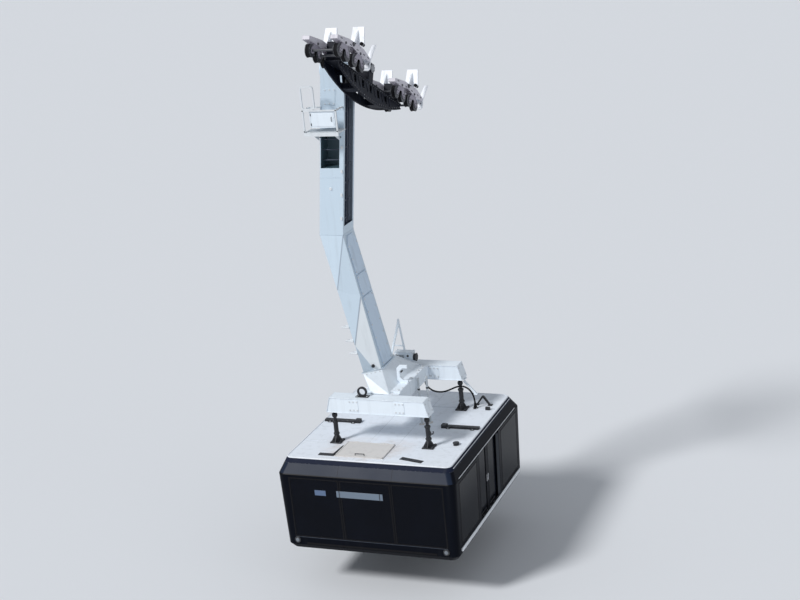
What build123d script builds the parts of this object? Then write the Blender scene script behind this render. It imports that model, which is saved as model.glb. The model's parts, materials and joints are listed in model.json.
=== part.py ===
from build123d import *
from math import cos, pi, radians, sin, tan
import os

# Aerial tramway car: a carriage on two track ropes, a bent hanger on its outer side and a glazed cabin.
# Millimetres. +Z is up, +X is across the line, +Y runs along the line, downhill.
# The origin lies midway between the two track ropes' axes, at the middle of the carriage.

# Track ropes and haul rope, which are not part of the car
rope_slope = 26.5            # degrees, the ropes fall towards +Y
rope_diameter = 72
rope_gauge = 700
haul_rope_diameter = 47
haul_rope_drop = 230         # haul rope's axis below the plane of the track ropes

# Wheels: two on each axle, one for each track rope, four axles under each truck
truck_spacing = 3560
wheel_pitch = 430
wheel_diameter = 320
tread_diameter = 296
wheel_width = 110
groove_flank = 8
axle_diameter = 56
axle_clearance = 0.05

# Rockers carry two axles each, in square windows that keeper plates close on the outside
rocker_plate = 12
rocker_gap = 124             # between a rocker's two cheeks
rocker_foot = 110            # cheek's width round an axle
rocker_foot_drop = 60        # cheek below the axles
rocker_arch = 80             # cheek's lower edge above the axles between its feet
rocker_head = 120
rocker_head_rise = 45
rocker_pin_height = 405      # above the ropes' plane
rocker_pin_diameter = 60
keeper_size = 100
keeper_plate = 8
keeper_clearance = 0.3

# Equalizers over the rockers, each with a guide plate and an upright plate
equalizer_plate = 16
equalizer_top = 560
equalizer_end_top = 460
equalizer_end_bottom = 370
equalizer_arch = 430
equalizer_pin_diameter = 90
equalizer_pin_height = 500
guide_reach = 1040           # truck's middle to the guide plate at its downhill end
nose_reach = 900             # truck's middle to its uphill end
guide_bottom = 170
guide_shoulder = 440
guide_top = 800
guide_width = 200
guide_hook = 110             # the hook on top stands out by this
guide_thickness = 30
fin_offset = 420             # downhill of the truck's middle
fin_bottom = 470
fin_shoulder = 650
fin_top = 1050
fin_top_width = 290
fin_width = 350
fin_foot_width = 120
fin_thickness = 40
fin_rib = 220

# Main beam: a lens-shaped channel, open below for the haul rope
beam_overhang = 160          # past the posts
beam_width = 380
beam_plate = 20
beam_top = 95
beam_end_depth = 150
beam_belly = 370             # lowest point below the ropes' plane
beam_slot_pitch = 480
beam_slot_width = 150
beam_slot_lean = 110
beam_slot_top = 30
beam_slot_bottom = -150
post_length = 180
clamp_length = 300
clamp_height = 130
clamp_spacing = 1500

# Pivot shaft
shaft_diameter = 160
shaft_height = 450           # above the ropes' plane
shaft_cap_diameter = 290
shaft_cap = 40
housing_width = 260
shaft_clearance = 0.1
side_clearance = 6

# Hanger, measured down from the pivot
mast_width = 640
mast_depth = 680
head_x = -740                # mast's centre line at the pivot
head_rise = 300              # mast's top above the pivot
head_chamfer = 110
boss_diameter = 500
boss_reach = 370             # either side of head_x
knee_x = -1230
knee_drop = 4100
arm_foot_x = -150
arm_foot_width = 560
arm_foot_outer_depth = 1700
arm_foot_inner_depth = 1300
flange = 70                  # edges left round the mast's recessed inner side
recess_depth = 80
recess_top_drop = 330
recess_bottom_rise = 220
web_rib = 40
hatch_top_drop = 1500        # opening in the mast under the platform
hatch_height = 880
hatch_depth = 420
hatch_edge = 30
hatch_inner_edge = 110
arm_cover = 36               # cover plate on the arm's inner side
arm_cover_edge = 60
arm_cover_head = 280         # flat part of its tapered top
arm_cover_taper = 240

# Service platform on the mast's front, with a railing, a cabinet and a guard loop
platform_drop = 1390         # pivot to floor
platform_reach = 450
platform_left = -1450
platform_right = -540
platform_plate = 30
platform_toe = 60
bracket_depth = 260
bracket_plate = 14
bracket_inset = 180
railing_bar = 36
railing_height = 560
loop_width = 360
loop_height = 590
loop_radius = 90
cabinet_left = -1270
cabinet_right = -600
cabinet_height = 410
cabinet_depth = 130

# Ladder on the arm's outer side
ladder_start = 500           # below the knee, along the arm
ladder_length = 3300
ladder_width = 400
ladder_standoff = 110
ladder_bar = 36
ladder_rung = 24
ladder_pitch = 300

# Crossbeams over the roof and the frame between them
roof_drop = 9300             # pivot to roof
crossbeam_spacing = 2560
crossbeam_width = 360
crossbeam_depth = 400
crossbeam_length = 2740
crossbeam_taper = 110
strut_spacing = 2500
strut_height = 870
strut_diameter = 120
strut_rod_diameter = 84
strut_sleeve = 520
strut_base_size = 300
strut_base = 28
strut_gusset = 160
strut_gusset_plate = 24
rail_spacing = 760
rail_width = 170
rail_depth = 340
foot_plate = 40

# Cabin
cabin_height = 2400
wall = 60
glass = 16
floor_thickness = 120
roof_thickness = 60
roof_lip = 110
corner_radius = 170
end_zone = 2420              # the end walls start at this distance from the middle
shoulder_drop = 360          # the walls lean in from here up to the roof
# height above the cabin's underside, half width, half length
cabin_sections = [
    (0, 2220, 2580),
    (floor_thickness, 2300, 2660),
    (cabin_height - shoulder_drop, 2360, 2680),
    (cabin_height, 2200, 2420),
]
window_sill = 360
window_head = cabin_height - shoulder_drop - 80
end_glazing_width = 4080
end_window_count = 3
window_post = 50
side_window_start = 1000
side_window_end = 2330

# Sliding doors, two leaves in each side
door_width = 1600
door_head = cabin_height - shoulder_drop + 40
door_travel = 780
leaf_thickness = 40
leaf_gap = 12                # between wall and leaf
leaf_overlap = 40            # leaf past the doorway's edge
leaf_meeting_gap = 6
leaf_frame = 90
leaf_glass_inset = 12
track_height = 30
track_width = 60
track_clearance = 0.3

# Outer fittings
sill_height = 70
sill_thickness = 26
sill_bottom = 190
lamp_diameter = 130
lamp_depth = 40
lamp_x = 2000
lamp_height = 250
roof_bar_length = 1000
roof_bar_width = 120
roof_bar_height = 60
roof_hatch_x = -300
roof_hatch_y = -1750
roof_hatch_length = 1300
roof_hatch_width = 880
roof_hatch_height = 24

# Fittings on the crossbeams and between them
winch_left = -450
winch_length = 500
winch_height = 310
winch_depth = 200
frame_left = -720
frame_right = -200
frame_peak_x = -360
frame_rise = 1110
frame_bar = 44
bollard_x = -830
bollard_diameter = 90
bollard_height = 330
eye_x = -420
eye_diameter = 260
eye_hole = 170
eye_thickness = 50
hook_reach = 290             # hook plate beside the arm's foot
hook_height = 480
hook_bar = 80
hook_thickness = 60
cable_post_diameter = 60
cable_post_height = 1280
cable_post_places = [(540, 120), (720, 260)]
trestle_x = 1730
trestle_y = 1620
trestle_spread = 420
trestle_rise = 260
trestle_bar = 50

# Cable from the far crossbeam past its strut to a gland on the roof
cable_diameter = 44
gland_diameter = 90
gland_height = 60
# across, along the line from under the pivot, height above the cabin's underside
cable_route = [
    (300, 1190, 3270),
    (300, 1190, 3130),
    (375, 1178, 3005),
    (510, 1162, 2922),
    (680, 1150, 2895),
    (850, 1143, 2920),
    (1010, 1141, 2985),
    (1160, 1146, 3060),
    (1315, 1163, 3095),
    (1450, 1200, 3045),
    (1540, 1255, 2925),
    (1580, 1315, 2770),
    (1585, 1370, 2600),
    (1585, 1370, 2460),
]

# Inner fittings
pole_diameter = 40
pole_x = 900
pole_y = 1500
desk_width = 700
desk_depth = 420
desk_height = 1100

slope = radians(rope_slope)
downhill = Vector(0, cos(slope), -sin(slope))
away = Vector(0, sin(slope), cos(slope))     # square to the ropes' plane, upwards
axle_height = rope_diameter / 2 + tread_diameter / 2
pivot = away * shaft_height
row_x = rope_gauge / 2
roof_z = pivot.Z - roof_drop
floor_z = roof_z - cabin_height


def on_carriage(x, s, t):
    """Point at x across, s downhill along the ropes and t above their plane."""
    return Vector(x, 0, 0) + downhill * s + away * t


def carriage_side(x):
    """Plane square to X: local x runs downhill, local y away from the ropes."""
    return Plane(origin=(x, 0, 0), x_dir=downhill, z_dir=(1, 0, 0))


def hanger_front(y=0.0):
    """Upright plane across the line through the pivot's axis: local x is X, local y is up, normal -Y."""
    return Plane(origin=(0, pivot.Y + y, pivot.Z), x_dir=(1, 0, 0), z_dir=(0, -1, 0))


def cabin_level(height):
    """Level plane at a height above the cabin's underside, centred under the pivot."""
    return Plane(origin=(0, pivot.Y, floor_z + height), x_dir=(1, 0, 0), z_dir=(0, 0, 1))


def end_plane(y):
    """Upright plane across the cabin at y from its middle: local x is X, local y is height, normal -Y."""
    return Plane(origin=(0, pivot.Y + y, floor_z), x_dir=(1, 0, 0), z_dir=(0, -1, 0))


def side_plane(x):
    """Upright plane along the cabin at x: local x is Y from the middle, local y is height, normal +X."""
    return Plane(origin=(x, pivot.Y, floor_z), x_dir=(0, 1, 0), z_dir=(1, 0, 0))


def cabin_half_size(height):
    """Outer half width and half length of the cabin at a height above its underside."""
    for lower, upper in zip(cabin_sections, cabin_sections[1:]):
        if height <= upper[0]:
            share = (height - lower[0]) / (upper[0] - lower[0])
            return tuple(a + share * (b - a) for a, b in zip(lower[1:], upper[1:]))
    return cabin_sections[-1][1:]


def save(builder, name):
    builder.part.label = name
    export_step(builder.part, f"parts/{name}.step")


os.makedirs("parts", exist_ok=True)

truck_places = (-truck_spacing / 2, truck_spacing / 2)
rocker_places = [place + side * wheel_pitch for place in truck_places for side in (-1, 1)]
axle_places = [place + side * wheel_pitch / 2 for place in rocker_places for side in (-1, 1)]
rows = (-row_x, row_x)

# Wheelsets: an axle with a grooved wheel over each track rope
axle_half_length = row_x + rocker_gap / 2 + rocker_plate - keeper_clearance
for index, place in enumerate(axle_places):
    centre = on_carriage(0, place, axle_height)
    with BuildPart() as wheelset:
        with BuildSketch(Plane(origin=centre, x_dir=(1, 0, 0), z_dir=(0, -1, 0))):
            with BuildLine():
                Polyline(
                    (row_x - wheel_width / 2, 0),
                    (row_x - wheel_width / 2, wheel_diameter / 2),
                    (row_x - wheel_width / 2 + groove_flank, tread_diameter / 2),
                    (row_x + wheel_width / 2 - groove_flank, tread_diameter / 2),
                    (row_x + wheel_width / 2, wheel_diameter / 2),
                    (row_x + wheel_width / 2, 0),
                    close=True,
                )
            make_face()
            mirror(about=Plane.YZ)
            with Locations((0, axle_diameter / 4)):
                Rectangle(2 * axle_half_length, axle_diameter / 2)
        revolve(axis=Axis(centre, (1, 0, 0)))
    save(wheelset, f"wheelset_{index + 1:02d}")

# Rockers: two arched cheeks round a pair of axles, joined by the pin under the equalizer
rocker_reach = wheel_pitch / 2 + rocker_foot / 2
foot_level = axle_height - rocker_foot_drop
with BuildPart() as rockers:
    for x in rows:
        for place in rocker_places:
            axles = [(place - wheel_pitch / 2, axle_height), (place + wheel_pitch / 2, axle_height)]
            for side in (-1, 1):
                with BuildSketch(carriage_side(x + side * (rocker_gap + rocker_plate) / 2)):
                    with BuildLine():
                        Polyline(
                            (place - rocker_reach, foot_level),
                            (place - rocker_reach + rocker_foot, foot_level),
                            (place - rocker_head / 2, axle_height + rocker_arch),
                            (place + rocker_head / 2, axle_height + rocker_arch),
                            (place + rocker_reach - rocker_foot, foot_level),
                            (place + rocker_reach, foot_level),
                            (place + rocker_reach, axle_height + rocker_foot / 2),
                            (place + rocker_head / 2, rocker_pin_height + rocker_head_rise),
                            (place - rocker_head / 2, rocker_pin_height + rocker_head_rise),
                            (place - rocker_reach, axle_height + rocker_foot / 2),
                            close=True,
                        )
                    make_face()
                    with Locations(axles):
                        Rectangle(
                            axle_diameter + 2 * axle_clearance,
                            axle_diameter + 2 * axle_clearance,
                            mode=Mode.SUBTRACT,
                        )
                extrude(amount=rocker_plate / 2, both=True)
            outer = 1 if x > 0 else -1
            with BuildSketch(carriage_side(x + outer * (rocker_gap + 2 * rocker_plate + keeper_plate) / 2)):
                with Locations(axles):
                    Rectangle(keeper_size, keeper_size)
            extrude(amount=keeper_plate / 2, both=True)
            with BuildSketch(carriage_side(x)):
                with Locations((place, rocker_pin_height)):
                    Circle(rocker_pin_diameter / 2)
            extrude(amount=rocker_gap / 2, both=True)
save(rockers, "wheel_rockers")

# Equalizers: two cheeks against the rockers, a nose plate, the pin to the main beam's post, a guide plate
# at the downhill end and an upright plate
cheek_inner = rocker_gap / 2 + rocker_plate
with BuildPart() as equalizers:
    for x in rows:
        outer = 1 if x > 0 else -1
        for place in truck_places:
            for side in (-1, 1):
                with BuildSketch(carriage_side(x + side * (cheek_inner + equalizer_plate / 2))):
                    with BuildLine():
                        Polyline(
                            (place - nose_reach, equalizer_end_bottom),
                            (place - wheel_pitch + rocker_head / 2, equalizer_end_bottom),
                            (place, equalizer_arch),
                            (place + wheel_pitch - rocker_head / 2, equalizer_end_bottom),
                            (place + guide_reach, equalizer_end_bottom),
                            (place + guide_reach, equalizer_end_top),
                            (place + fin_offset + fin_rib, equalizer_top),
                            (place - fin_rib, equalizer_top),
                            (place - nose_reach, equalizer_end_top),
                            close=True,
                        )
                    make_face()
                extrude(amount=equalizer_plate / 2, both=True)
            pin_end = outer * beam_width / 2
            with BuildSketch(carriage_side(pin_end)):
                with Locations((place, equalizer_pin_height)):
                    Circle(equalizer_pin_diameter / 2)
            extrude(amount=x + outer * cheek_inner - pin_end)
            guide_foot = on_carriage(x, place + guide_reach, 0)
            with BuildSketch(Plane(origin=guide_foot, x_dir=(outer, 0, 0), z_dir=downhill * -outer)):
                with BuildLine():
                    Polyline(
                        (-guide_width / 2, guide_bottom + guide_width / 4),
                        (-guide_width / 4, guide_bottom),
                        (guide_width / 4, guide_bottom),
                        (guide_width / 2, guide_bottom + guide_width / 4),
                        (guide_width / 2, guide_shoulder),
                        (guide_width / 2 + guide_hook, guide_top),
                        (guide_hook, guide_top),
                        (0, guide_shoulder + guide_width / 4),
                        (-guide_width / 2, guide_shoulder),
                        close=True,
                    )
                make_face()
            extrude(amount=guide_thickness / 2, both=True)
            nose = on_carriage(x, place - nose_reach, (equalizer_end_bottom + equalizer_end_top) / 2)
            with BuildSketch(Plane(origin=nose, x_dir=(1, 0, 0), z_dir=downhill)):
                Rectangle(2 * (cheek_inner + equalizer_plate), equalizer_end_top - equalizer_end_bottom)
            extrude(amount=guide_thickness)
            fin_foot = on_carriage(x, place + fin_offset, 0)
            with BuildSketch(Plane(origin=fin_foot, x_dir=(1, 0, 0), z_dir=downhill * -1)):
                with BuildLine():
                    Polyline(
                        (-fin_foot_width / 2, fin_bottom),
                        (fin_foot_width / 2, fin_bottom),
                        (fin_width / 2, fin_shoulder),
                        (fin_top_width / 2, fin_top),
                        (-fin_top_width / 2, fin_top),
                        (-fin_width / 2, fin_shoulder),
                        close=True,
                    )
                make_face()
            extrude(amount=fin_thickness / 2, both=True)
            with BuildSketch(carriage_side(x)):
                with BuildLine():
                    Polyline(
                        (place + fin_offset - fin_rib, equalizer_top),
                        (place + fin_offset + fin_rib, equalizer_top),
                        (place + fin_offset, fin_top - fin_thickness),
                        close=True,
                    )
                make_face()
            extrude(amount=equalizer_plate / 2, both=True)
            with BuildSketch(carriage_side(x)):
                with Locations((place + fin_offset, equalizer_top)):
                    Rectangle(2 * fin_rib, equalizer_plate)
            extrude(amount=cheek_inner + equalizer_plate, both=True)
save(equalizers, "equalizer_beams")

# Main beam: lens-shaped channel with posts for the equalizer pins and a housing for the pivot shaft
beam_half_length = truck_spacing / 2 + beam_overhang
with BuildPart() as main_beam:
    with BuildSketch(carriage_side(0)):
        with BuildLine():
            top_line = Polyline(
                (-beam_half_length, beam_top - beam_end_depth),
                (-beam_half_length, beam_top),
                (beam_half_length, beam_top),
                (beam_half_length, beam_top - beam_end_depth),
            )
            ThreePointArc(top_line @ 1, (0, -beam_belly), top_line @ 0)
        make_face()
    extrude(amount=beam_width / 2, both=True)
    with BuildSketch(carriage_side(0)):
        with Locations((0, beam_top - beam_plate)):
            Rectangle(2 * beam_half_length, beam_belly + beam_top, align=(Align.CENTER, Align.MAX))
    extrude(amount=beam_width / 2 - beam_plate, both=True, mode=Mode.SUBTRACT)
    with BuildSketch(carriage_side(0)):
        for step in (-2, -1, 0, 1, 2):
            slot_x = step * beam_slot_pitch
            with BuildLine():
                Polyline(
                    (slot_x - beam_slot_lean, beam_slot_top),
                    (slot_x - beam_slot_lean + beam_slot_width, beam_slot_top),
                    (slot_x + beam_slot_lean, beam_slot_bottom),
                    (slot_x + beam_slot_lean - beam_slot_width, beam_slot_bottom),
                    close=True,
                )
            make_face()
    extrude(amount=beam_width, both=True, mode=Mode.SUBTRACT)
    with BuildSketch(carriage_side(0)):
        for step in (-2.5, -1.5, -0.5, 0.5, 1.5, 2.5):
            with Locations((step * beam_slot_pitch, beam_top)):
                Rectangle(beam_plate, beam_end_depth, align=(Align.CENTER, Align.MAX))
        with Locations((0, beam_top)):
            housing_height = shaft_height - beam_top + housing_width / 2
            Rectangle(housing_width, housing_height, align=(Align.CENTER, Align.MIN))
    extrude(amount=beam_width / 2 - beam_plate, both=True)
    with BuildSketch(carriage_side(0)):
        with Locations([(place, beam_top) for place in truck_places]):
            Rectangle(post_length, equalizer_top - beam_top, align=(Align.CENTER, Align.MIN))
    extrude(amount=beam_width / 2, both=True)
    with BuildSketch(carriage_side(0)):
        with Locations((0, shaft_height)):
            Circle(shaft_diameter / 2)
    extrude(amount=beam_width, both=True, mode=Mode.SUBTRACT)
save(main_beam, "main_beam")

# Clamps that grip the haul rope inside the main beam
with BuildPart() as clamps:
    with BuildSketch(carriage_side(0)):
        with Locations([(side * clamp_spacing / 2, -haul_rope_drop) for side in (-1, 1)]):
            Rectangle(clamp_length, clamp_height)
    extrude(amount=beam_width / 2 - beam_plate, both=True)
    with BuildSketch(Plane(origin=on_carriage(0, 0, -haul_rope_drop), x_dir=(1, 0, 0), z_dir=downhill)):
        Circle(haul_rope_diameter / 2)
    extrude(amount=clamp_spacing, both=True, mode=Mode.SUBTRACT)
save(clamps, "haul_rope_clamps")

# Pivot shaft out to the hanger's head
shaft_end = head_x - boss_reach - side_clearance
with BuildPart() as pivot_shaft:
    with BuildSketch(Plane(origin=(shaft_end, pivot.Y, pivot.Z), z_dir=(1, 0, 0))):
        Circle(shaft_diameter / 2)
    extrude(amount=beam_width / 2 - shaft_end)
    with BuildSketch(Plane(origin=(shaft_end, pivot.Y, pivot.Z), z_dir=(-1, 0, 0))):
        Circle(shaft_cap_diameter / 2)
    extrude(amount=shaft_cap)
save(pivot_shaft, "pivot_shaft")

# Hanger mast: box section with a recessed inner side, a hatch and a boss round the shaft
mast_lean = (head_x - knee_x) / knee_drop
top_x = head_x + mast_lean * head_rise
half_mast = mast_width / 2


def mast_x(drop):
    """Centre line of the mast at a distance below the pivot."""
    return head_x - mast_lean * drop


with BuildPart() as mast:
    with BuildSketch(hanger_front()):
        with BuildLine():
            Polyline(
                (top_x - half_mast, head_rise - head_chamfer),
                (top_x - half_mast + head_chamfer, head_rise),
                (top_x + half_mast - head_chamfer, head_rise),
                (top_x + half_mast, head_rise - head_chamfer),
                (knee_x + half_mast, -knee_drop),
                (knee_x - half_mast, -knee_drop),
                close=True,
            )
        make_face()
    extrude(amount=mast_depth / 2, both=True)
    with BuildSketch(hanger_front()):
        with BuildLine():
            recess_bottom = knee_drop - recess_bottom_rise
            Polyline(
                (mast_x(recess_top_drop) + half_mast - recess_depth, -recess_top_drop),
                (mast_x(recess_top_drop) + 2 * half_mast, -recess_top_drop),
                (mast_x(recess_bottom) + 2 * half_mast, -recess_bottom),
                (mast_x(recess_bottom) + half_mast - recess_depth, -recess_bottom),
                close=True,
            )
        make_face()
    extrude(amount=mast_depth / 2 - flange, both=True, mode=Mode.SUBTRACT)
    with BuildSketch(hanger_front()):
        with BuildLine():
            Polyline(
                (mast_x(recess_top_drop) + half_mast - recess_depth, -recess_top_drop),
                (mast_x(recess_top_drop) + half_mast - recess_depth / 2, -recess_top_drop),
                (mast_x(recess_bottom) + half_mast - recess_depth / 2, -recess_bottom),
                (mast_x(recess_bottom) + half_mast - recess_depth, -recess_bottom),
                close=True,
            )
        make_face()
    extrude(amount=web_rib / 2, both=True)
    with BuildSketch(hanger_front(-mast_depth / 2)):
        with BuildLine():
            hatch_bottom = hatch_top_drop + hatch_height
            Polyline(
                (mast_x(hatch_top_drop) - half_mast + hatch_edge, -hatch_top_drop),
                (mast_x(hatch_top_drop) + half_mast - hatch_inner_edge, -hatch_top_drop),
                (mast_x(hatch_bottom) + half_mast - hatch_inner_edge, -hatch_bottom),
                (mast_x(hatch_bottom) - half_mast + hatch_edge, -hatch_bottom),
                close=True,
            )
        make_face()
    extrude(amount=-hatch_depth, mode=Mode.SUBTRACT)
    with BuildSketch(Plane(origin=(head_x, pivot.Y, pivot.Z), z_dir=(1, 0, 0))):
        Circle(boss_diameter / 2)
    extrude(amount=boss_reach, both=True)
    with BuildSketch(Plane(origin=(head_x, pivot.Y, pivot.Z), z_dir=(1, 0, 0))):
        Circle(shaft_diameter / 2 + shaft_clearance)
    extrude(amount=2 * boss_reach, both=True, mode=Mode.SUBTRACT)
save(mast, "hanger_mast")

# Hanger arm: leans inwards from the knee and widens along the line; its front and back are folded
# along a crease from the knee's inner corner to the foot's outer corner
crossbeam_bottom = roof_drop - strut_height
crossbeam_top = crossbeam_bottom - crossbeam_depth
arm_foot_drop = crossbeam_top - foot_plate
foot_half = arm_foot_width / 2


def arm_point(x, depth, drop, face):
    return Vector(x, pivot.Y + face * depth / 2, pivot.Z - drop)


with BuildPart() as arm:
    with BuildSketch(hanger_front()):
        with BuildLine():
            Polyline(
                (knee_x - half_mast, -knee_drop),
                (knee_x + half_mast, -knee_drop),
                (arm_foot_x + foot_half, -arm_foot_drop),
                (arm_foot_x - foot_half, -arm_foot_drop),
                close=True,
            )
        make_face()
    extrude(amount=arm_foot_outer_depth, both=True)
    for face in (-1, 1):
        knee_outer = arm_point(knee_x - half_mast, mast_depth, knee_drop, face)
        knee_inner = arm_point(knee_x + half_mast, mast_depth, knee_drop, face)
        foot_outer = arm_point(arm_foot_x - foot_half, arm_foot_outer_depth, arm_foot_drop, face)
        foot_inner = arm_point(arm_foot_x + foot_half, arm_foot_inner_depth, arm_foot_drop, face)
        upper_fold = (knee_inner - knee_outer).cross(foot_outer - knee_outer) * face
        lower_fold = (foot_inner - knee_inner).cross(foot_outer - knee_inner) * face
        split(bisect_by=Plane(origin=knee_inner, z_dir=upper_fold), keep=Keep.BOTTOM)
        split(bisect_by=Plane(origin=knee_inner, z_dir=lower_fold), keep=Keep.BOTTOM)
    # Cover plate on the inner side, narrower at its top end
    knee_corner = Vector(knee_x + half_mast, pivot.Y, pivot.Z - knee_drop)
    arm_run = Vector(arm_foot_x + foot_half, pivot.Y, pivot.Z - arm_foot_drop) - knee_corner
    cover_end = arm_run.length - arm_cover_edge
    cover_top = mast_depth / 2 - arm_cover_edge
    cover_foot = arm_foot_inner_depth / 2 - arm_cover_edge
    inner_side = Plane(origin=knee_corner, x_dir=(0, 1, 0), z_dir=Vector(-arm_run.Z, 0, arm_run.X))
    with BuildSketch(inner_side):
        with BuildLine():
            Polyline(
                (-arm_cover_head / 2, -arm_cover_edge),
                (arm_cover_head / 2, -arm_cover_edge),
                (cover_top, -arm_cover_edge - arm_cover_taper),
                (cover_foot, -cover_end),
                (-cover_foot, -cover_end),
                (-cover_top, -arm_cover_edge - arm_cover_taper),
                close=True,
            )
        make_face()
    extrude(amount=arm_cover)
save(arm, "hanger_arm")

# Ladder on the arm's outer side: two stringers on standoffs, with rungs between them
outer_corner = Vector(knee_x - half_mast, pivot.Y, pivot.Z - knee_drop)
outer_run = Vector(arm_foot_x - foot_half, pivot.Y, pivot.Z - arm_foot_drop) - outer_corner
outer_side = Plane(origin=outer_corner, x_dir=(0, -1, 0), z_dir=Vector(outer_run.Z, 0, -outer_run.X))
stringer_y = (ladder_width - ladder_bar) / 2
rung_count = int(ladder_length // ladder_pitch)
with BuildPart() as ladder:
    with BuildSketch(outer_side.offset(ladder_standoff)):
        with Locations((-stringer_y, -ladder_start), (stringer_y, -ladder_start)):
            Rectangle(ladder_bar, ladder_length, align=(Align.CENTER, Align.MAX))
        for index in range(rung_count):
            with Locations((0, -ladder_start - (index + 0.5) * ladder_pitch)):
                Rectangle(ladder_width - ladder_bar, ladder_rung)
    extrude(amount=ladder_rung)
    with BuildSketch(outer_side):
        for drop in (ladder_start + ladder_pitch, ladder_start + ladder_length - ladder_pitch):
            with Locations((-stringer_y, -drop), (stringer_y, -drop)):
                Rectangle(ladder_bar, ladder_bar)
    extrude(amount=ladder_standoff)
save(ladder, "hanger_ladder")

# Service platform on the mast's front, on two brackets
def mast_front(forward=0.0):
    """Upright plane on the mast's front, or this far in front of it."""
    return hanger_front(-mast_depth / 2 - forward)


platform_width = platform_right - platform_left
platform_middle = (platform_left + platform_right) / 2
with BuildPart() as platform:
    with BuildSketch(mast_front()):
        with Locations((platform_middle, -platform_drop)):
            Rectangle(platform_width, platform_plate, align=(Align.CENTER, Align.MAX))
    extrude(amount=platform_reach)
    with BuildSketch(mast_front(platform_reach - platform_plate)):
        with Locations((platform_middle, -platform_drop - platform_plate)):
            Rectangle(platform_width, platform_toe, align=(Align.CENTER, Align.MAX))
    extrude(amount=platform_plate)
    for x in (platform_left + bracket_inset, platform_right - bracket_inset):
        side = Plane(origin=(x, pivot.Y - mast_depth / 2, pivot.Z), x_dir=(0, -1, 0), z_dir=(-1, 0, 0))
        with BuildSketch(side):
            with BuildLine():
                Polyline(
                    (0, -platform_drop - platform_plate),
                    (platform_reach - platform_plate, -platform_drop - platform_plate),
                    (0, -platform_drop - platform_plate - bracket_depth),
                    close=True,
                )
            make_face()
        extrude(amount=bracket_plate / 2, both=True)
save(platform, "service_platform")

# Railing: corner posts, a top rail back to the mast's front, and a guard loop on the left end
rail_top = railing_height - platform_drop
with BuildPart() as railing:
    with BuildSketch(mast_front(platform_reach - railing_bar)):
        with Locations((platform_left, -platform_drop), (platform_right - railing_bar, -platform_drop)):
            Rectangle(railing_bar, railing_height, align=(Align.MIN, Align.MIN))
        with Locations((platform_middle, rail_top)):
            Rectangle(platform_width, railing_bar, align=(Align.CENTER, Align.MAX))
        with Locations((platform_left, rail_top)):
            RectangleRounded(loop_width, loop_height, loop_radius, align=(Align.MIN, Align.MIN))
        with Locations((platform_left + railing_bar, rail_top + railing_bar)):
            RectangleRounded(
                loop_width - 2 * railing_bar,
                loop_height - 2 * railing_bar,
                loop_radius - railing_bar,
                align=(Align.MIN, Align.MIN),
                mode=Mode.SUBTRACT,
            )
    extrude(amount=railing_bar)
    with BuildSketch(mast_front()):
        with Locations((platform_left, rail_top), (platform_right - railing_bar, rail_top)):
            Rectangle(railing_bar, railing_bar, align=(Align.MIN, Align.MAX))
    extrude(amount=platform_reach - railing_bar)
    with BuildSketch(mast_front()):
        rail_reach = mast_x(-rail_top) - platform_left - half_mast + railing_bar
        with Locations((platform_left, rail_top)):
            Rectangle(rail_reach, railing_bar, align=(Align.MIN, Align.MAX))
    extrude(amount=railing_bar)
save(railing, "platform_railing")

with BuildPart() as cabinet:
    with BuildSketch(mast_front(platform_reach - cabinet_depth)):
        with Locations((cabinet_left, rail_top - railing_bar)):
            Rectangle(cabinet_right - cabinet_left, cabinet_height, align=(Align.MIN, Align.MAX))
    extrude(amount=cabinet_depth - railing_bar)
save(cabinet, "platform_cabinet")

# Foot plate under the arm, the two rails that carry it between the crossbeams, and a hook plate
with BuildPart() as carrying_frame:
    frame_top = Plane(origin=(0, pivot.Y, pivot.Z - crossbeam_top), z_dir=(0, 0, 1))
    with BuildSketch(frame_top):
        Rectangle(rail_spacing + rail_width, arm_foot_outer_depth + rail_width)
    extrude(amount=foot_plate)
    with BuildSketch(frame_top):
        with GridLocations(rail_spacing, 0, 2, 1):
            Rectangle(rail_width, crossbeam_spacing - crossbeam_width)
    extrude(amount=-rail_depth)
    hook_foot = foot_plate - crossbeam_top
    hook_end = (rail_spacing + rail_width) / 2
    with BuildSketch(hanger_front(-arm_foot_inner_depth / 4)):
        with BuildLine():
            Polyline(
                (hook_end, hook_foot),
                (hook_end - hook_reach + hook_bar, hook_foot),
                (hook_end - hook_reach, hook_foot + hook_bar),
                (hook_end - hook_reach, hook_foot + hook_height - hook_bar),
                (hook_end - hook_reach + hook_bar, hook_foot + hook_height),
                (hook_end, hook_foot + hook_height),
                (hook_end, hook_foot + hook_height - hook_bar),
                (hook_end - hook_reach + 2 * hook_bar, hook_foot + hook_height - hook_bar),
                (hook_end - hook_reach + hook_bar, hook_foot + hook_height - 2 * hook_bar),
                (hook_end - hook_reach + hook_bar, hook_foot + 2 * hook_bar),
                (hook_end - hook_reach + 2 * hook_bar, hook_foot + hook_bar),
                (hook_end, hook_foot + hook_bar),
                close=True,
            )
        make_face()
    extrude(amount=hook_thickness / 2, both=True)
save(carrying_frame, "carrying_frame")

# Crossbeams over the roof
with BuildPart() as crossbeams:
    for side in (-1, 1):
        with BuildSketch(hanger_front(side * crossbeam_spacing / 2)):
            with BuildLine():
                Polyline(
                    (-crossbeam_length / 2, -crossbeam_bottom),
                    (crossbeam_length / 2, -crossbeam_bottom),
                    (crossbeam_length / 2 - crossbeam_taper, -crossbeam_top),
                    (crossbeam_taper - crossbeam_length / 2, -crossbeam_top),
                    close=True,
                )
            make_face()
        extrude(amount=crossbeam_width / 2, both=True)
save(crossbeams, "crossbeams")

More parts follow.
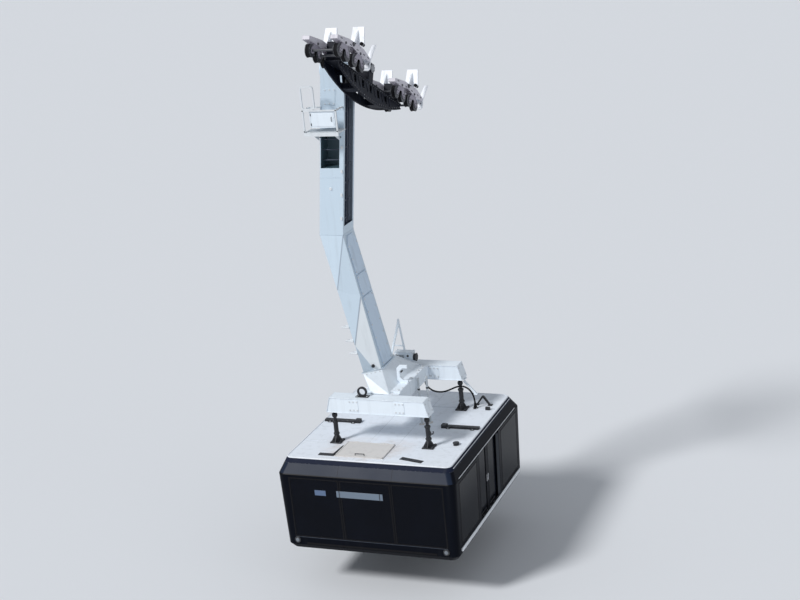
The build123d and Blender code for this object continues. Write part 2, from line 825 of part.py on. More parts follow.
# Struts between crossbeams and roof: a sleeve round a rod, on a square foot with four gussets
roof_level = cabin_level(cabin_height)
with BuildPart() as struts:
    with BuildSketch(roof_level):
        with GridLocations(strut_spacing, crossbeam_spacing, 2, 2):
            Rectangle(strut_base_size, strut_base_size)
    extrude(amount=strut_base)
    with BuildSketch(roof_level.offset(strut_base)):
        with GridLocations(strut_spacing, crossbeam_spacing, 2, 2):
            Circle(strut_diameter / 2)
    extrude(amount=strut_sleeve)
    with BuildSketch(roof_level.offset(strut_base + strut_sleeve)):
        with GridLocations(strut_spacing, crossbeam_spacing, 2, 2):
            Circle(strut_rod_diameter / 2)
    extrude(amount=strut_height - strut_base - strut_sleeve)
    for x in (-strut_spacing / 2, strut_spacing / 2):
        for y in (-crossbeam_spacing / 2, crossbeam_spacing / 2):
            foot = roof_level.origin + Vector(x, y, strut_base)
            for along, normal in ((Vector(1, 0, 0), Vector(0, -1, 0)), (Vector(0, 1, 0), Vector(1, 0, 0))):
                with BuildSketch(Plane(origin=foot, x_dir=along, z_dir=normal)):
                    with BuildLine():
                        Polyline(
                            (-strut_base_size / 2, 0),
                            (strut_base_size / 2, 0),
                            (strut_diameter / 2, strut_gusset),
                            (-strut_diameter / 2, strut_gusset),
                            close=True,
                        )
                    make_face()
                extrude(amount=strut_gusset_plate / 2, both=True)
save(struts, "support_struts")


# Cabin shell: the outer body less the inner space, cut into floor, roof and four walls
def cabin_body(inset, lowest=0.0, highest=cabin_height):
    """The cabin's form, drawn in by an inset on all sides, between two heights."""
    heights = [lowest] + [row[0] for row in cabin_sections if lowest < row[0] < highest] + [highest]
    with BuildPart() as body:
        for height in heights:
            half_width, half_length = cabin_half_size(height)
            with BuildSketch(cabin_level(height)):
                RectangleRounded(2 * (half_width - inset), 2 * (half_length - inset), corner_radius - inset)
        loft(ruled=True)
    return body.part


def end_openings():
    """Sizes and centres of the windows in an end wall, across the cabin."""
    pitch = (end_glazing_width + window_post) / end_window_count
    centres = [(i - (end_window_count - 1) / 2) * pitch for i in range(end_window_count)]
    return [(x, pitch - window_post) for x in centres]


window_middle = (window_sill + window_head) / 2
window_height = window_head - window_sill
side_window_length = side_window_end - side_window_start
side_window_middle = (side_window_start + side_window_end) / 2
reach = cabin_sections[2][2]                 # outermost half length


def end_window_blocks(face):
    """Blocks through the end wall at face -1 or 1, one for each window."""
    with BuildPart() as blocks:
        with BuildSketch(end_plane(face * reach)):
            for x, width in end_openings():
                with Locations((x, window_middle)):
                    Rectangle(width, window_height)
        extrude(amount=4 * wall, both=True)
    return blocks.part


def side_window_blocks(face):
    """Blocks through the side wall at face -1 or 1, fore and aft of the doorway."""
    half_width = cabin_sections[2][1]
    with BuildPart() as blocks:
        with BuildSketch(side_plane(face * half_width)):
            with Locations((-side_window_middle, window_middle), (side_window_middle, window_middle)):
                Rectangle(side_window_length, window_height)
        extrude(amount=4 * wall, both=True)
    return blocks.part


outer_body = cabin_body(0)
inner_body = cabin_body(wall, floor_thickness, cabin_height - roof_thickness)
glass_body = cabin_body(glass)

with BuildPart() as cabin_floor:
    add(outer_body)
    split(bisect_by=cabin_level(floor_thickness), keep=Keep.BOTTOM)
save(cabin_floor, "cabin_floor")

with BuildPart() as cabin_roof:
    add(outer_body)
    add(inner_body, mode=Mode.SUBTRACT)
    split(bisect_by=cabin_level(cabin_height - roof_lip), keep=Keep.TOP)
save(cabin_roof, "cabin_roof")

for face, name in ((-1, "end_wall_uphill"), (1, "end_wall_downhill")):
    with BuildPart() as end_wall:
        add(outer_body)
        add(inner_body, mode=Mode.SUBTRACT)
        split(bisect_by=cabin_level(floor_thickness), keep=Keep.TOP)
        split(bisect_by=cabin_level(cabin_height - roof_lip), keep=Keep.BOTTOM)
        split(bisect_by=Plane(origin=(0, pivot.Y + face * end_zone, 0), z_dir=(0, face, 0)), keep=Keep.TOP)
        add(end_window_blocks(face), mode=Mode.SUBTRACT)
    save(end_wall, name)

for face, name in ((-1, "side_wall_left"), (1, "side_wall_right")):
    with BuildPart() as side_wall:
        add(outer_body)
        add(inner_body, mode=Mode.SUBTRACT)
        split(bisect_by=cabin_level(floor_thickness), keep=Keep.TOP)
        split(bisect_by=cabin_level(cabin_height - roof_lip), keep=Keep.BOTTOM)
        for end in (-1, 1):
            end_cut = Plane(origin=(0, pivot.Y + end * end_zone, 0), z_dir=(0, end, 0))
            split(bisect_by=end_cut, keep=Keep.BOTTOM)
        split(bisect_by=Plane(origin=(0, 0, 0), z_dir=(face, 0, 0)), keep=Keep.TOP)
        add(side_window_blocks(face), mode=Mode.SUBTRACT)
        with BuildSketch(side_plane(face * reach)):
            with Locations((0, door_head)):
                Rectangle(door_width, door_head, align=(Align.CENTER, Align.MAX))
        extrude(amount=8 * wall, both=True, mode=Mode.SUBTRACT)
    save(side_wall, name)

with BuildPart() as end_windows:
    for face in (-1, 1):
        add(end_window_blocks(face))
    add(outer_body, mode=Mode.INTERSECT)
    add(glass_body, mode=Mode.SUBTRACT)
save(end_windows, "end_windows")

with BuildPart() as side_windows:
    for face in (-1, 1):
        add(side_window_blocks(face))
    add(outer_body, mode=Mode.INTERSECT)
    add(glass_body, mode=Mode.SUBTRACT)
save(side_windows, "side_windows")

# Door leaves inside the side walls, each with its pane, on a floor track
leaf_outer = wall + leaf_gap
leaf_bottom = floor_thickness + track_height + track_clearance
leaf_top = door_head + leaf_overlap
leaf_length = door_width / 2 + leaf_overlap - leaf_meeting_gap / 2
leaf_middle = leaf_meeting_gap / 2 + leaf_length / 2
leaf_body = cabin_body(leaf_outer, leaf_bottom, leaf_top)
leaf_inside = cabin_body(leaf_outer + leaf_thickness, leaf_bottom, leaf_top)
pane_body = cabin_body(leaf_outer + leaf_glass_inset, leaf_bottom, leaf_top)
pane_inside = cabin_body(leaf_outer + leaf_glass_inset + glass, leaf_bottom, leaf_top)


def leaf_block(face, end, margin):
    """Block through one side wall over a door leaf, less a margin round the leaf's edge."""
    with BuildPart() as block:
        with BuildSketch(side_plane(face * reach)):
            with Locations((end * leaf_middle, (leaf_bottom + leaf_top) / 2)):
                Rectangle(leaf_length - 2 * margin, leaf_top - leaf_bottom - 2 * margin)
        extrude(amount=reach / 2, both=True)
    return block.part


for face, side_name in ((-1, "left"), (1, "right")):
    for end, end_name in ((-1, "uphill"), (1, "downhill")):
        with BuildPart() as leaf:
            add(leaf_block(face, end, 0))
            add(leaf_body, mode=Mode.INTERSECT)
            add(leaf_inside, mode=Mode.SUBTRACT)
            add(leaf_block(face, end, leaf_frame), mode=Mode.SUBTRACT)
        save(leaf, f"door_{side_name}_{end_name}")
        with BuildPart() as pane:
            add(leaf_block(face, end, leaf_frame))
            add(pane_body, mode=Mode.INTERSECT)
            add(pane_inside, mode=Mode.SUBTRACT)
        save(pane, f"door_glass_{side_name}_{end_name}")

track_x = cabin_half_size(leaf_bottom)[0] - leaf_outer - leaf_thickness / 2
track_length = 2 * (door_travel + leaf_length)
with BuildPart() as door_tracks:
    for face in (-1, 1):
        with BuildSketch(cabin_level(floor_thickness)):
            with Locations((face * track_x, 0)):
                Rectangle(track_width, track_length)
        extrude(amount=track_height)
save(door_tracks, "door_tracks")

# Bright sill strips along both sides, under the glazing
with BuildPart() as sills:
    for face in (-1, 1):
        half_width = cabin_half_size(sill_bottom)[0]
        with BuildSketch(cabin_level(sill_bottom)):
            with Locations((face * half_width, 0)):
                Rectangle(2 * sill_thickness, 2 * end_zone)
        extrude(amount=sill_height)
    add(outer_body, mode=Mode.SUBTRACT)
save(sills, "sill_strips")

# Round lamps in the end walls' lower corners
with BuildPart() as lamps:
    for face in (-1, 1):
        half_length = cabin_half_size(lamp_height)[1]
        with BuildSketch(end_plane(face * half_length)):
            with Locations((-lamp_x, lamp_height), (lamp_x, lamp_height)):
                Circle(lamp_diameter / 2)
        extrude(amount=lamp_depth, both=True)
    add(outer_body, mode=Mode.SUBTRACT)
save(lamps, "end_lamps")

# Low dark bars across the roof beside the hanger's foot
roof_edge = cabin_sections[-1][1]
with BuildPart() as roof_bars:
    with BuildSketch(roof_level):
        with GridLocations(2 * roof_edge - roof_bar_length - roof_bar_width, 0, 2, 1):
            Rectangle(roof_bar_length, roof_bar_width)
    extrude(amount=roof_bar_height)
save(roof_bars, "roof_bars")

# Grab poles from floor to roof and the attendant's desk
with BuildPart() as poles:
    with BuildSketch(cabin_level(floor_thickness)):
        with GridLocations(2 * pole_x, 2 * pole_y, 2, 2):
            Circle(pole_diameter / 2)
        with GridLocations(2 * pole_x, 0, 2, 1):
            Circle(pole_diameter / 2)
    extrude(amount=cabin_height - roof_thickness - floor_thickness)
save(poles, "grab_poles")

with BuildPart() as desk:
    desk_half_length = cabin_half_size(floor_thickness)[1] - wall
    with BuildSketch(cabin_level(floor_thickness)):
        with Locations((0, -desk_half_length)):
            Rectangle(desk_width, desk_depth, align=(Align.CENTER, Align.MIN))
    extrude(amount=desk_height)
    add(outer_body, mode=Mode.INTERSECT)
save(desk, "control_desk")

# Winch housing, signal frame and bollard on the far crossbeam, lifting eye on the near one
beam_top_z = pivot.Z - crossbeam_top
far_beam_y = pivot.Y + crossbeam_spacing / 2
near_beam_y = pivot.Y - crossbeam_spacing / 2
with BuildPart() as winch:
    with BuildSketch(Plane(origin=(winch_left, far_beam_y - crossbeam_width / 2, beam_top_z))):
        Rectangle(winch_length, winch_depth, align=(Align.MIN, Align.MIN))
    extrude(amount=winch_height)
save(winch, "winch_housing")

with BuildPart() as signal_frame:
    frame_y = far_beam_y - crossbeam_width / 2 + winch_depth + frame_bar
    with BuildSketch(Plane(origin=(0, frame_y, beam_top_z), x_dir=(1, 0, 0), z_dir=(0, -1, 0))):
        with BuildLine():
            Polyline(
                (frame_left, 0),
                (frame_left + frame_bar, 0),
                (frame_peak_x, frame_rise - 3 * frame_bar),
                (frame_right - frame_bar, 0),
                (frame_right, 0),
                (frame_peak_x + frame_bar / 2, frame_rise),
                (frame_peak_x - frame_bar / 2, frame_rise),
                close=True,
            )
        make_face()
    extrude(amount=frame_bar / 2, both=True)
    with BuildSketch(Plane(origin=(bollard_x, far_beam_y, beam_top_z))):
        Circle(bollard_diameter / 2)
    extrude(amount=bollard_height)
save(signal_frame, "signal_frame")

with BuildPart() as lifting_eye:
    with BuildSketch(Plane(origin=(eye_x, near_beam_y, beam_top_z), x_dir=(1, 0, 0), z_dir=(0, -1, 0))):
        with Locations((0, eye_diameter / 2)):
            Circle(eye_diameter / 2)
        Rectangle(eye_diameter / 2, eye_diameter / 2, align=(Align.CENTER, Align.MIN))
        with Locations((0, eye_diameter / 2)):
            Circle(eye_hole / 2, mode=Mode.SUBTRACT)
    extrude(amount=eye_thickness / 2, both=True)
save(lifting_eye, "lifting_eye")

# Posts, trestle and hatch on the roof
with BuildPart() as roof_posts:
    with BuildSketch(roof_level):
        with Locations(cable_post_places):
            Circle(cable_post_diameter / 2)
    extrude(amount=cable_post_height)
save(roof_posts, "roof_posts")

with BuildPart() as trestle:
    with BuildSketch(hanger_front(trestle_y)):
        with BuildLine():
            Polyline(
                (trestle_x - trestle_spread / 2, -roof_drop),
                (trestle_x - trestle_spread / 2 + trestle_bar, -roof_drop),
                (trestle_x, trestle_rise - trestle_bar - roof_drop),
                (trestle_x + trestle_spread / 2 - trestle_bar, -roof_drop),
                (trestle_x + trestle_spread / 2, -roof_drop),
                (trestle_x + trestle_bar / 2, trestle_rise - roof_drop),
                (trestle_x - trestle_bar / 2, trestle_rise - roof_drop),
                close=True,
            )
        make_face()
    extrude(amount=trestle_bar / 2, both=True)
save(trestle, "roof_trestle")

with BuildPart() as roof_hatch:
    with BuildSketch(roof_level):
        with Locations((roof_hatch_x, roof_hatch_y)):
            Rectangle(roof_hatch_length, roof_hatch_width)
    extrude(amount=roof_hatch_height)
save(roof_hatch, "roof_hatch")

# Cable that hangs from the far crossbeam, passes its strut and ends in a gland on the roof
route = [Vector(x, pivot.Y + y, floor_z + z) for x, y, z in cable_route]
radii = []
for before, corner, after in zip(route, route[1:], route[2:]):
    turn = (corner - before).get_angle(after - corner)
    shorter = min((corner - before).length, (after - corner).length)
    radii.append(0.45 * shorter / tan(radians(turn / 2)))
with BuildPart() as roof_cable:
    with BuildLine() as cable_line:
        FilletPolyline(*route, radius=radii)
    with BuildSketch(Plane(origin=route[0], z_dir=route[1] - route[0])):
        Circle(cable_diameter / 2)
    sweep()
save(roof_cable, "roof_cable")
print("cable bends", [round(radius) for radius in radii])
cable_length = cable_line.wire().length
print("cable length", round(cable_length))
print("cable volume over section", round(roof_cable.part.volume / (pi * cable_diameter**2 / 4)))

with BuildPart() as gland:
    with BuildSketch(roof_level):
        with Locations((cable_route[-1][0], cable_route[-1][1])):
            Circle(gland_diameter / 2)
    extrude(amount=gland_height)
save(gland, "cable_gland")
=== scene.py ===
"""Aerial tramway car: finishes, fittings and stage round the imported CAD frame, all in metres."""
import json
import math

import bmesh
import bpy
from mathutils import Matrix, Vector


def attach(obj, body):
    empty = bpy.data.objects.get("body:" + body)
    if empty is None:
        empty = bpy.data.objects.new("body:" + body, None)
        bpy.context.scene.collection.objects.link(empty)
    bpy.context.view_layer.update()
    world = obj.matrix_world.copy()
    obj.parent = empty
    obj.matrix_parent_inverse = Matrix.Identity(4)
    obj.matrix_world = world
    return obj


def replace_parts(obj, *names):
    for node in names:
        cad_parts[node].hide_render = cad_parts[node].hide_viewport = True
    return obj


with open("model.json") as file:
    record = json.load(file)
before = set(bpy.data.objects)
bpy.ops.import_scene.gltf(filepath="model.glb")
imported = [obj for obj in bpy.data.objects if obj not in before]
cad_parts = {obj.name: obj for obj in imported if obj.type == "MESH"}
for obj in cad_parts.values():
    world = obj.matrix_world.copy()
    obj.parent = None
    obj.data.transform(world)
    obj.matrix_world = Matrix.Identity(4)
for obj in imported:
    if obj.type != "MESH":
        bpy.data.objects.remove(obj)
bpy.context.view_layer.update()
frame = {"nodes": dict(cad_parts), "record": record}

bl_info = {
    "name": "Aerial tramway car",
    "version": (1, 0, 0),
    "blender": (4, 5, 0),
    "location": "View3D > Sidebar > Tramway car",
    "description": "Finishes and fittings for an aerial tramway car",
    "category": "Object",
}

# Places and sizes in metres. Those of the solids follow part.py, but the arm's inner side is narrower
SLOPE = math.radians(26.5)                 # fall of the ropes
DOWNHILL = Vector((0, math.cos(SLOPE), -math.sin(SLOPE)))
AWAY = Vector((0, math.sin(SLOPE), math.cos(SLOPE)))
PIVOT_T = 0.45                             # height of the pivot over the ropes' plane
PIVOT = AWAY * PIVOT_T
CABIN_DROP, ROOF_HEIGHT = 11.7, 2.4
FLOOR_Z = PIVOT.z - CABIN_DROP             # the cabin's underside
ROOF_Z = FLOOR_Z + ROOF_HEIGHT

# Carriage: s is a place downhill along the ropes, and t a height over their plane
ROW_X = 0.35                               # a row of wheels from the middle
TRUCKS = (-1.78, 1.78)
ROCKERS = [truck + side * 0.43 for truck in TRUCKS for side in (-1, 1)]
AXLES = [rocker + side * 0.215 for rocker in ROCKERS for side in (-1, 1)]
AXLE_T, ROCKER_PIN_T, EQUALIZER_PIN_T = 0.184, 0.405, 0.50
WHEEL_FACE, KEEPER_FACE, CHEEK_FACE = 0.055, 0.082, 0.09    # outer faces from the row of wheels
FIN_S, GUIDE_S = 0.42, 1.04                # upright and guide plates from the middle of their truck
CHEEK_TOP_T = 0.572                        # where the upright plates leave the equalizer's cheeks
BEAM_HALF_WIDTH, BEAM_HALF_LENGTH = 0.19, 1.94
BEAM_BELLY, BEAM_END = 0.37, 0.055         # depths of the beam's curved underside
BEAM_SAG = BEAM_BELLY - BEAM_END
BEAM_RADIUS = (BEAM_HALF_LENGTH ** 2 + BEAM_SAG ** 2) / (2 * BEAM_SAG)

# Hanger: drops are measured down from the pivot
HEAD_X = -0.74
BOSS_REACH = 0.37
MAST_HALF_WIDTH, MAST_HALF_DEPTH = 0.32, 0.34
KNEE_DROP, FOOT_DROP = 4.1, 7.99
MAST_SHIFT = 0.49                          # how far the mast leans out by its knee
MAST_LEAN = MAST_SHIFT / KNEE_DROP
KNEE_X = HEAD_X - MAST_SHIFT
RECESS_TOP_DROP, RECESS_FOOT_DROP = 0.325, 3.885   # the recess in the mast's inner side
MAST_HATCH_Y, MAST_HATCH_DROP = -0.12, 1.94
ARM_FALL = FOOT_DROP - KNEE_DROP
ARM_INNER_SHIFT, ARM_OUTER_SHIFT = 0.78, 1.12      # how far the arm comes back under the pivot
ARM_INNER_SPREAD, ARM_OUTER_SPREAD = 0.09, 0.51    # and how much deeper each half is at its foot
ARM_KNEE = Vector((KNEE_X + MAST_HALF_WIDTH, PIVOT.y, PIVOT.z - KNEE_DROP))
ARM_LENGTH = math.hypot(ARM_INNER_SHIFT, ARM_FALL)
ARM_RUN = Vector((ARM_INNER_SHIFT, 0, -ARM_FALL)) / ARM_LENGTH      # down the arm's inner side
ARM_OUT = Vector((ARM_FALL, 0, ARM_INNER_SHIFT)) / ARM_LENGTH
ARM_JOINTS = (1.08, 1.66)
ARM_FOOT_RUN = 3.56                        # where the foot block starts
DECK_DROP, CABINET_FRONT_Y = 1.39, -0.754  # the platform's deck, and the cabinet over it

# Over the roof and cabin: heights are measured up from the cabin's underside
CROSSBEAM_Y, STRUT_X = 1.28, 1.25
BEAM_LOW_Z, BEAM_TOP_Z = 3.27, 3.67
FOOT_TOP_Z = 3.71
WINCH_Y, SIGNAL_Y = 1.20, 1.344
HATCH_X, HATCH_Y = -0.30, -1.75
WALL_FOOT, WALL_RISE = 0.12, 1.92          # the walls' lower edge, and from there to the shoulder
SHOULDER = ROOF_HEIGHT - WALL_FOOT - WALL_RISE     # height of the body's sloping band
SIDE_HALF, END_HALF = 2.30, 2.66           # half sizes at the walls' lower edge
SIDE_SPREAD, END_SPREAD = 0.06, 0.02       # and how much wider they are at the shoulder
WALL_LEAN = SIDE_SPREAD / WALL_RISE
BAND_LEAN = 0.444                          # how fast the band above the shoulder leans in
PANE_LOW, PANE_HIGH = 0.36, 1.96
END_PANES, END_PANE_HALF = (-1.3767, 0.0, 1.3767), 0.6633
SIDE_PANES, SIDE_PANE_HALF = (-1.665, 1.665), 0.665
DOORWAY_TRIM_Y, DOORWAY_JAMB_Y = 0.812, 0.760
SCREEN_Z = 1.60
RAIL_Z = 0.95
LEAF_INSET = 0.072                         # a door leaf's face behind the wall's


def on_carriage(x, s, t):
    """Point x across, s downhill along the ropes and t above their plane."""
    return Vector((x, 0, 0)) + DOWNHILL * s + AWAY * t


def on_cabin(x, y, z):
    """Point x across, y from under the pivot and z above the cabin's underside."""
    return Vector((x, PIVOT.y + y, FLOOR_Z + z))


def on_hanger(x, y, drop):
    """Point x across, y from under the pivot and drop below it."""
    return Vector((x, PIVOT.y + y, PIVOT.z - drop))


def on_leaf(side, end, y, z, depth=0.0):
    """Point on a door leaf's outer face, y from where two leaves meet and depth out from the face."""
    lean = max(0.0, z - WALL_FOOT - WALL_RISE) * BAND_LEAN
    return on_cabin(side * (side_x(z) - LEAF_INSET - lean + depth), end * y, z)


def on_arm(y, run, out=0.0):
    """Point on the arm's inner side, run down from the knee and out from its face."""
    return ARM_KNEE + ARM_RUN * run + ARM_OUT * out + Vector((0, y, 0))


def mast_x(drop):
    """Centre line of the mast at a distance below the pivot."""
    return HEAD_X - MAST_LEAN * drop


def belly_t(s):
    """Height of the main beam's curved underside at a place along it."""
    return BEAM_RADIUS - BEAM_BELLY - math.sqrt(BEAM_RADIUS ** 2 - s ** 2)


def side_x(height):
    """Half width of the cabin at a height above its underside, up to its shoulder."""
    return SIDE_HALF + SIDE_SPREAD * (height - WALL_FOOT) / WALL_RISE


def end_y(height):
    """Half length of the cabin at a height above its underside, up to its shoulder."""
    return END_HALF + END_SPREAD * (height - WALL_FOOT) / WALL_RISE


SQUARE = ((-1, -1), (1, -1), (1, 1), (-1, 1))


def round_steps(count, first=0.0):
    """Cosine and sine of even steps round a circle, the first one so many steps on."""
    angles = [2 * math.pi * (index + first) / count for index in range(count)]
    return [(math.cos(angle), math.sin(angle)) for angle in angles]


def linear(red, green, blue):
    """Scene colour of an sRGB colour given as 0 to 255."""
    steps = [value / 255 for value in (red, green, blue)]
    return tuple(v / 12.92 if v <= 0.04045 else ((v + 0.055) / 1.055) ** 2.4 for v in steps)


# Shader maths
class Shade:
    """A node's output in one paint. Arithmetic on it adds Math nodes."""

    def __init__(self, paint, socket):
        self.paint = paint
        self.socket = socket

    def math(self, operation, *others):
        """A Math node of this value and others."""
        return self.paint.node("ShaderNodeMath", {"operation": operation}, [self, *others])

    def __add__(self, other):
        return self.math("ADD", other)

    __radd__ = __add__

    def __mul__(self, other):
        return self.math("MULTIPLY", other)

    __rmul__ = __mul__

    def __sub__(self, other):
        return self.math("SUBTRACT", other)

    def __rsub__(self, other):
        return self.paint.node("ShaderNodeMath", {"operation": "SUBTRACT"}, [other, self])

    def __truediv__(self, other):
        return self.math("DIVIDE", other)

    def __abs__(self):
        return self.math("ABSOLUTE")

    def clamped(self):
        """Held between 0 and 1."""
        return self.paint.node("ShaderNodeMath", {"operation": "ADD", "use_clamp": True}, [self, 0.0])

    def above(self, edge, soft):
        """0 below the edge, 1 once past it by soft."""
        return ((self - edge) / soft).clamped()

    def near(self, centre, half, soft=0.004):
        """1 within half of the centre, falling to 0 over soft."""
        return ((half - abs(self - centre)) / soft).clamped()

    def repeat(self, step):
        """Distance from the nearest whole multiple of a step."""
        return abs(self.math("PINGPONG", step / 2))


class Paint:
    """One material: its Principled shader, with the nodes that feed it."""

    def __init__(self, name, **constants):
        self.material = bpy.data.materials.new(name)
        self.material.use_nodes = True
        self.tree = self.material.node_tree
        self.shader = self.tree.nodes["Principled BSDF"]
        for key, value in constants.items():
            self.set(key.replace("_", " ").title().replace("Ior", "IOR"), value)
        self.place = None

    def put(self, socket, value):
        """Links a Shade to a socket, or sets the socket to a number or colour."""
        if isinstance(value, Shade):
            self.tree.links.new(value.socket, socket)
        elif isinstance(value, tuple) and len(value) == 3 and socket.type == "RGBA":
            socket.default_value = (*value, 1.0)
        else:
            socket.default_value = value

    def set(self, socket, value):
        """Gives one of the Principled shader's sockets a number, a colour or a Shade."""
        self.put(self.shader.inputs[socket], value)

    def node(self, kind, settings=None, inputs=(), output=0):
        """Adds a node: settings first, then its sockets by place or name. Output None returns them all."""
        new = self.tree.nodes.new(kind)
        for key, value in (settings or {}).items():
            setattr(new, key, value)
        for key, value in inputs.items() if isinstance(inputs, dict) else enumerate(inputs):
            self.put(new.inputs[key], value)
        if output is None:
            return [Shade(self, socket) for socket in new.outputs]
        return Shade(self, new.outputs[output])

    def point(self):
        """The surface point in the CAD frame, at rest."""
        if self.place is None:
            self.place = self.node("ShaderNodeTexCoord", output="Object")
        return self.place

    def axes(self):
        """x, y and z of the surface point."""
        return self.node("ShaderNodeSeparateXYZ", inputs=[self.point()], output=None)

    def facing(self):
        """x, y and z of the surface's own direction, before any bump."""
        normal = self.node("ShaderNodeNewGeometry", output="True Normal")
        local = self.node(
            "ShaderNodeVectorTransform",
            {"vector_type": "NORMAL", "convert_from": "WORLD", "convert_to": "OBJECT"},
            [normal],
        )
        return self.node("ShaderNodeSeparateXYZ", inputs=[local], output=None)

    def noise(self, scale, detail=3.0, stretch=None):
        """Noise from 0 to 1, with so many cells in a metre. A stretch of three numbers scales its axes."""
        where = self.point()
        if stretch:
            where = self.node("ShaderNodeVectorMath", {"operation": "MULTIPLY"}, [where, stretch])
        sockets = {"Vector": where, "Scale": scale, "Detail": detail, "Roughness": 0.55}
        return self.node("ShaderNodeTexNoise", inputs=sockets, output="Fac")

    def mix(self, factor, first, second):
        """Colour between two colours."""
        return self.node("ShaderNodeMix", {"data_type": "RGBA"}, {0: factor, 6: first, 7: second}, output=2)

    def edges(self, radius):
        """1 at the solid's edges, 0 on its flats, and the rounded direction there."""
        rounded = self.node("ShaderNodeBevel", {"samples": 4}, {"Radius": radius})
        plain = self.node("ShaderNodeNewGeometry", output="Normal")
        alike = {"operation": "DOT_PRODUCT"}
        same = self.node("ShaderNodeVectorMath", alike, [rounded, plain], output="Value")
        return ((1.0 - same) * 6.0).clamped(), rounded

    def relief(self, height, depth, under):
        """Bump of a height from 0 to 1 over a depth in metres, on top of another direction."""
        sockets = {"Height": height, "Distance": depth, "Strength": 1.0, "Normal": under}
        self.set("Normal", self.node("ShaderNodeBump", inputs=sockets))


# Finishes
DUST = (0.10, 0.10, 0.095)
BARE_METAL = (0.42, 0.43, 0.45)


def coated(name, colour, roughness=0.42, grime=0.3, edge=0.012, chip=0.5, zones=()):
    """Coated steel: slow colour drift, rain marks down the sides, dust that lies on top and worn edges.

    Each zone is a function of the paint that returns a mask and that zone's colour.
    """
    paint = Paint(name)
    worn, rounded = paint.edges(edge)
    drift = paint.noise(0.9, detail=2.0)
    streak = paint.noise(7.0, detail=4.0, stretch=(1.0, 1.0, 0.06))
    specks = paint.noise(26.0, detail=3.0)
    marks = (streak.above(0.52, 0.25) * paint.noise(1.7)).clamped() * grime
    base = paint.mix(drift * 0.22, colour, tuple(v * 0.82 for v in colour))
    for zone in zones:
        mask, tint = zone(paint)
        base = paint.mix(mask, base, tint)
    base = paint.mix(marks, base, DUST)
    chips = worn * specks.above(0.50, 0.12) * chip
    base = paint.mix(chips, base, BARE_METAL)
    paint.set("Base Color", base)
    paint.set("Roughness", (roughness + marks * 0.5 + drift * 0.10 - chips * 0.15).clamped())
    paint.set("Metallic", chips)
    paint.relief(paint.noise(60.0, detail=2.0), 0.0008, rounded)
    return paint


def recess_shade_zone(paint):
    """The mast's recess, painted darker than the edges round it as the shade that lies in it."""
    x, y, z = paint.axes()
    drop = PIVOT.z - z
    depth = mast_x(drop) + MAST_HALF_WIDTH - x
    middle, half = (RECESS_TOP_DROP + RECESS_FOOT_DROP) / 2, (RECESS_FOOT_DROP - RECESS_TOP_DROP) / 2
    inside = depth.near(0.045, 0.042) * (y - PIVOT.y).near(0.0, 0.273) * drop.near(middle, half)
    return inside, linear(44, 54, 74)


def hatch_dim_light_zone(paint):
    """The space behind the mast's hatch, painted grey-green for the dim light seen through the opening."""
    x, y, z = paint.axes()
    drop = PIVOT.z - z
    inside = (y - PIVOT.y).near(MAST_HATCH_Y, 0.214) * drop.near(MAST_HATCH_DROP, 0.446)
    return inside * (x - mast_x(drop)).near(-0.04, 0.256), linear(66, 90, 101)


def past_fold(x, drop, fold):
    """How far a surface point lies to the right of one of the arm's folds."""
    (x_1, drop_1), (x_2, drop_2) = fold
    return x - x_1 - (drop - drop_1) * ((x_2 - x_1) / (drop_2 - drop_1))


def arm_front(paint):
    """The arm's front and back, without its edges."""
    return abs(paint.axes()[1] - PIVOT.y).above(0.30, 0.02) * abs(paint.facing()[1]).above(0.6, 0.1)


def arm_fold_shade_zone(paint):
    """Darker lines along the folds of the arm's front and back: painted shade in the creases."""
    x, _, z = paint.axes()
    drop = PIVOT.z - z
    lines = 0.0
    for fold in ARM_FOLDS:
        top, foot = fold[0][1], fold[1][1]
        between = drop.near((top + foot) / 2, (foot - top) / 2, 0.02)
        lines = lines + past_fold(x, drop, fold).near(0.0, 0.020, 0.010) * between
    return lines.clamped() * arm_front(paint) * 0.55, linear(112, 122, 140)


def arm_low_highlight_zone(paint):
    """The arm's lower front, painted lighter as a highlight where it catches more light."""
    x, _, z = paint.axes()
    drop = PIVOT.z - z
    fold = ARM_FOLDS[1]
    below = past_fold(x, drop, fold).above(0.0, 0.01) * drop.above(fold[0][1], 0.01)
    beyond = (drop.above(fold[1][1], 0.01) + below).clamped()
    return beyond * arm_front(paint), linear(240, 246, 250)


def band_reflection_zone(paint):
    """The body's sloping band under the roof's edge, paler and bluer on the ends: a painted reflection of the
    sky there.
    """
    _, _, z = paint.axes()
    ends = abs(paint.facing()[1]).above(0.5, 0.1)
    band = (z - ROOF_Z + SHOULDER).near(SHOULDER / 2 + 0.002, SHOULDER / 2 - 0.02)
    return band * ends, linear(33, 41, 57)


def band_seam_zone(paint):
    """Joints of the sloping band, and the line under it."""
    x, _, z = paint.axes()
    band = (z - ROOF_Z + SHOULDER).above(0.0, 0.004)
    joints = (abs(x).near(0.72, 0.007) * band + (z - ROOF_Z + SHOULDER).near(0.0, 0.010)).clamped()
    return (joints + (z - FLOOR_Z).near(WALL_FOOT, 0.005)).clamped(), linear(4, 5, 8)


def roof_seam_zone(paint):
    """Joints between the roof's panels."""
    x, y, _ = paint.axes()
    top = paint.facing()[2].above(0.8, 0.1)
    along = abs(x).near(0.40, 0.005)
    across = (y - PIVOT.y).repeat(1.34).near(0.0, 0.005)
    return (along + across).clamped() * top * 0.6, linear(120, 124, 132)


def lip_zone(paint):
    """The roof's sloping lip, dark as the body's band below it."""
    _, _, z = paint.axes()
    return 1.0 - (z - ROOF_Z).above(-0.012, 0.004), linear(17, 25, 46)


def roof_warm_zone(paint):
    """Warm patches round the hatch."""
    x, y, _ = paint.axes()
    round_hatch = (x - HATCH_X).near(0.0, 1.3, 0.5) * (y - PIVOT.y - HATCH_Y).near(0.0, 0.9, 0.4)
    return round_hatch * paint.noise(2.4).above(0.42, 0.2) * 0.5, linear(214, 204, 198)


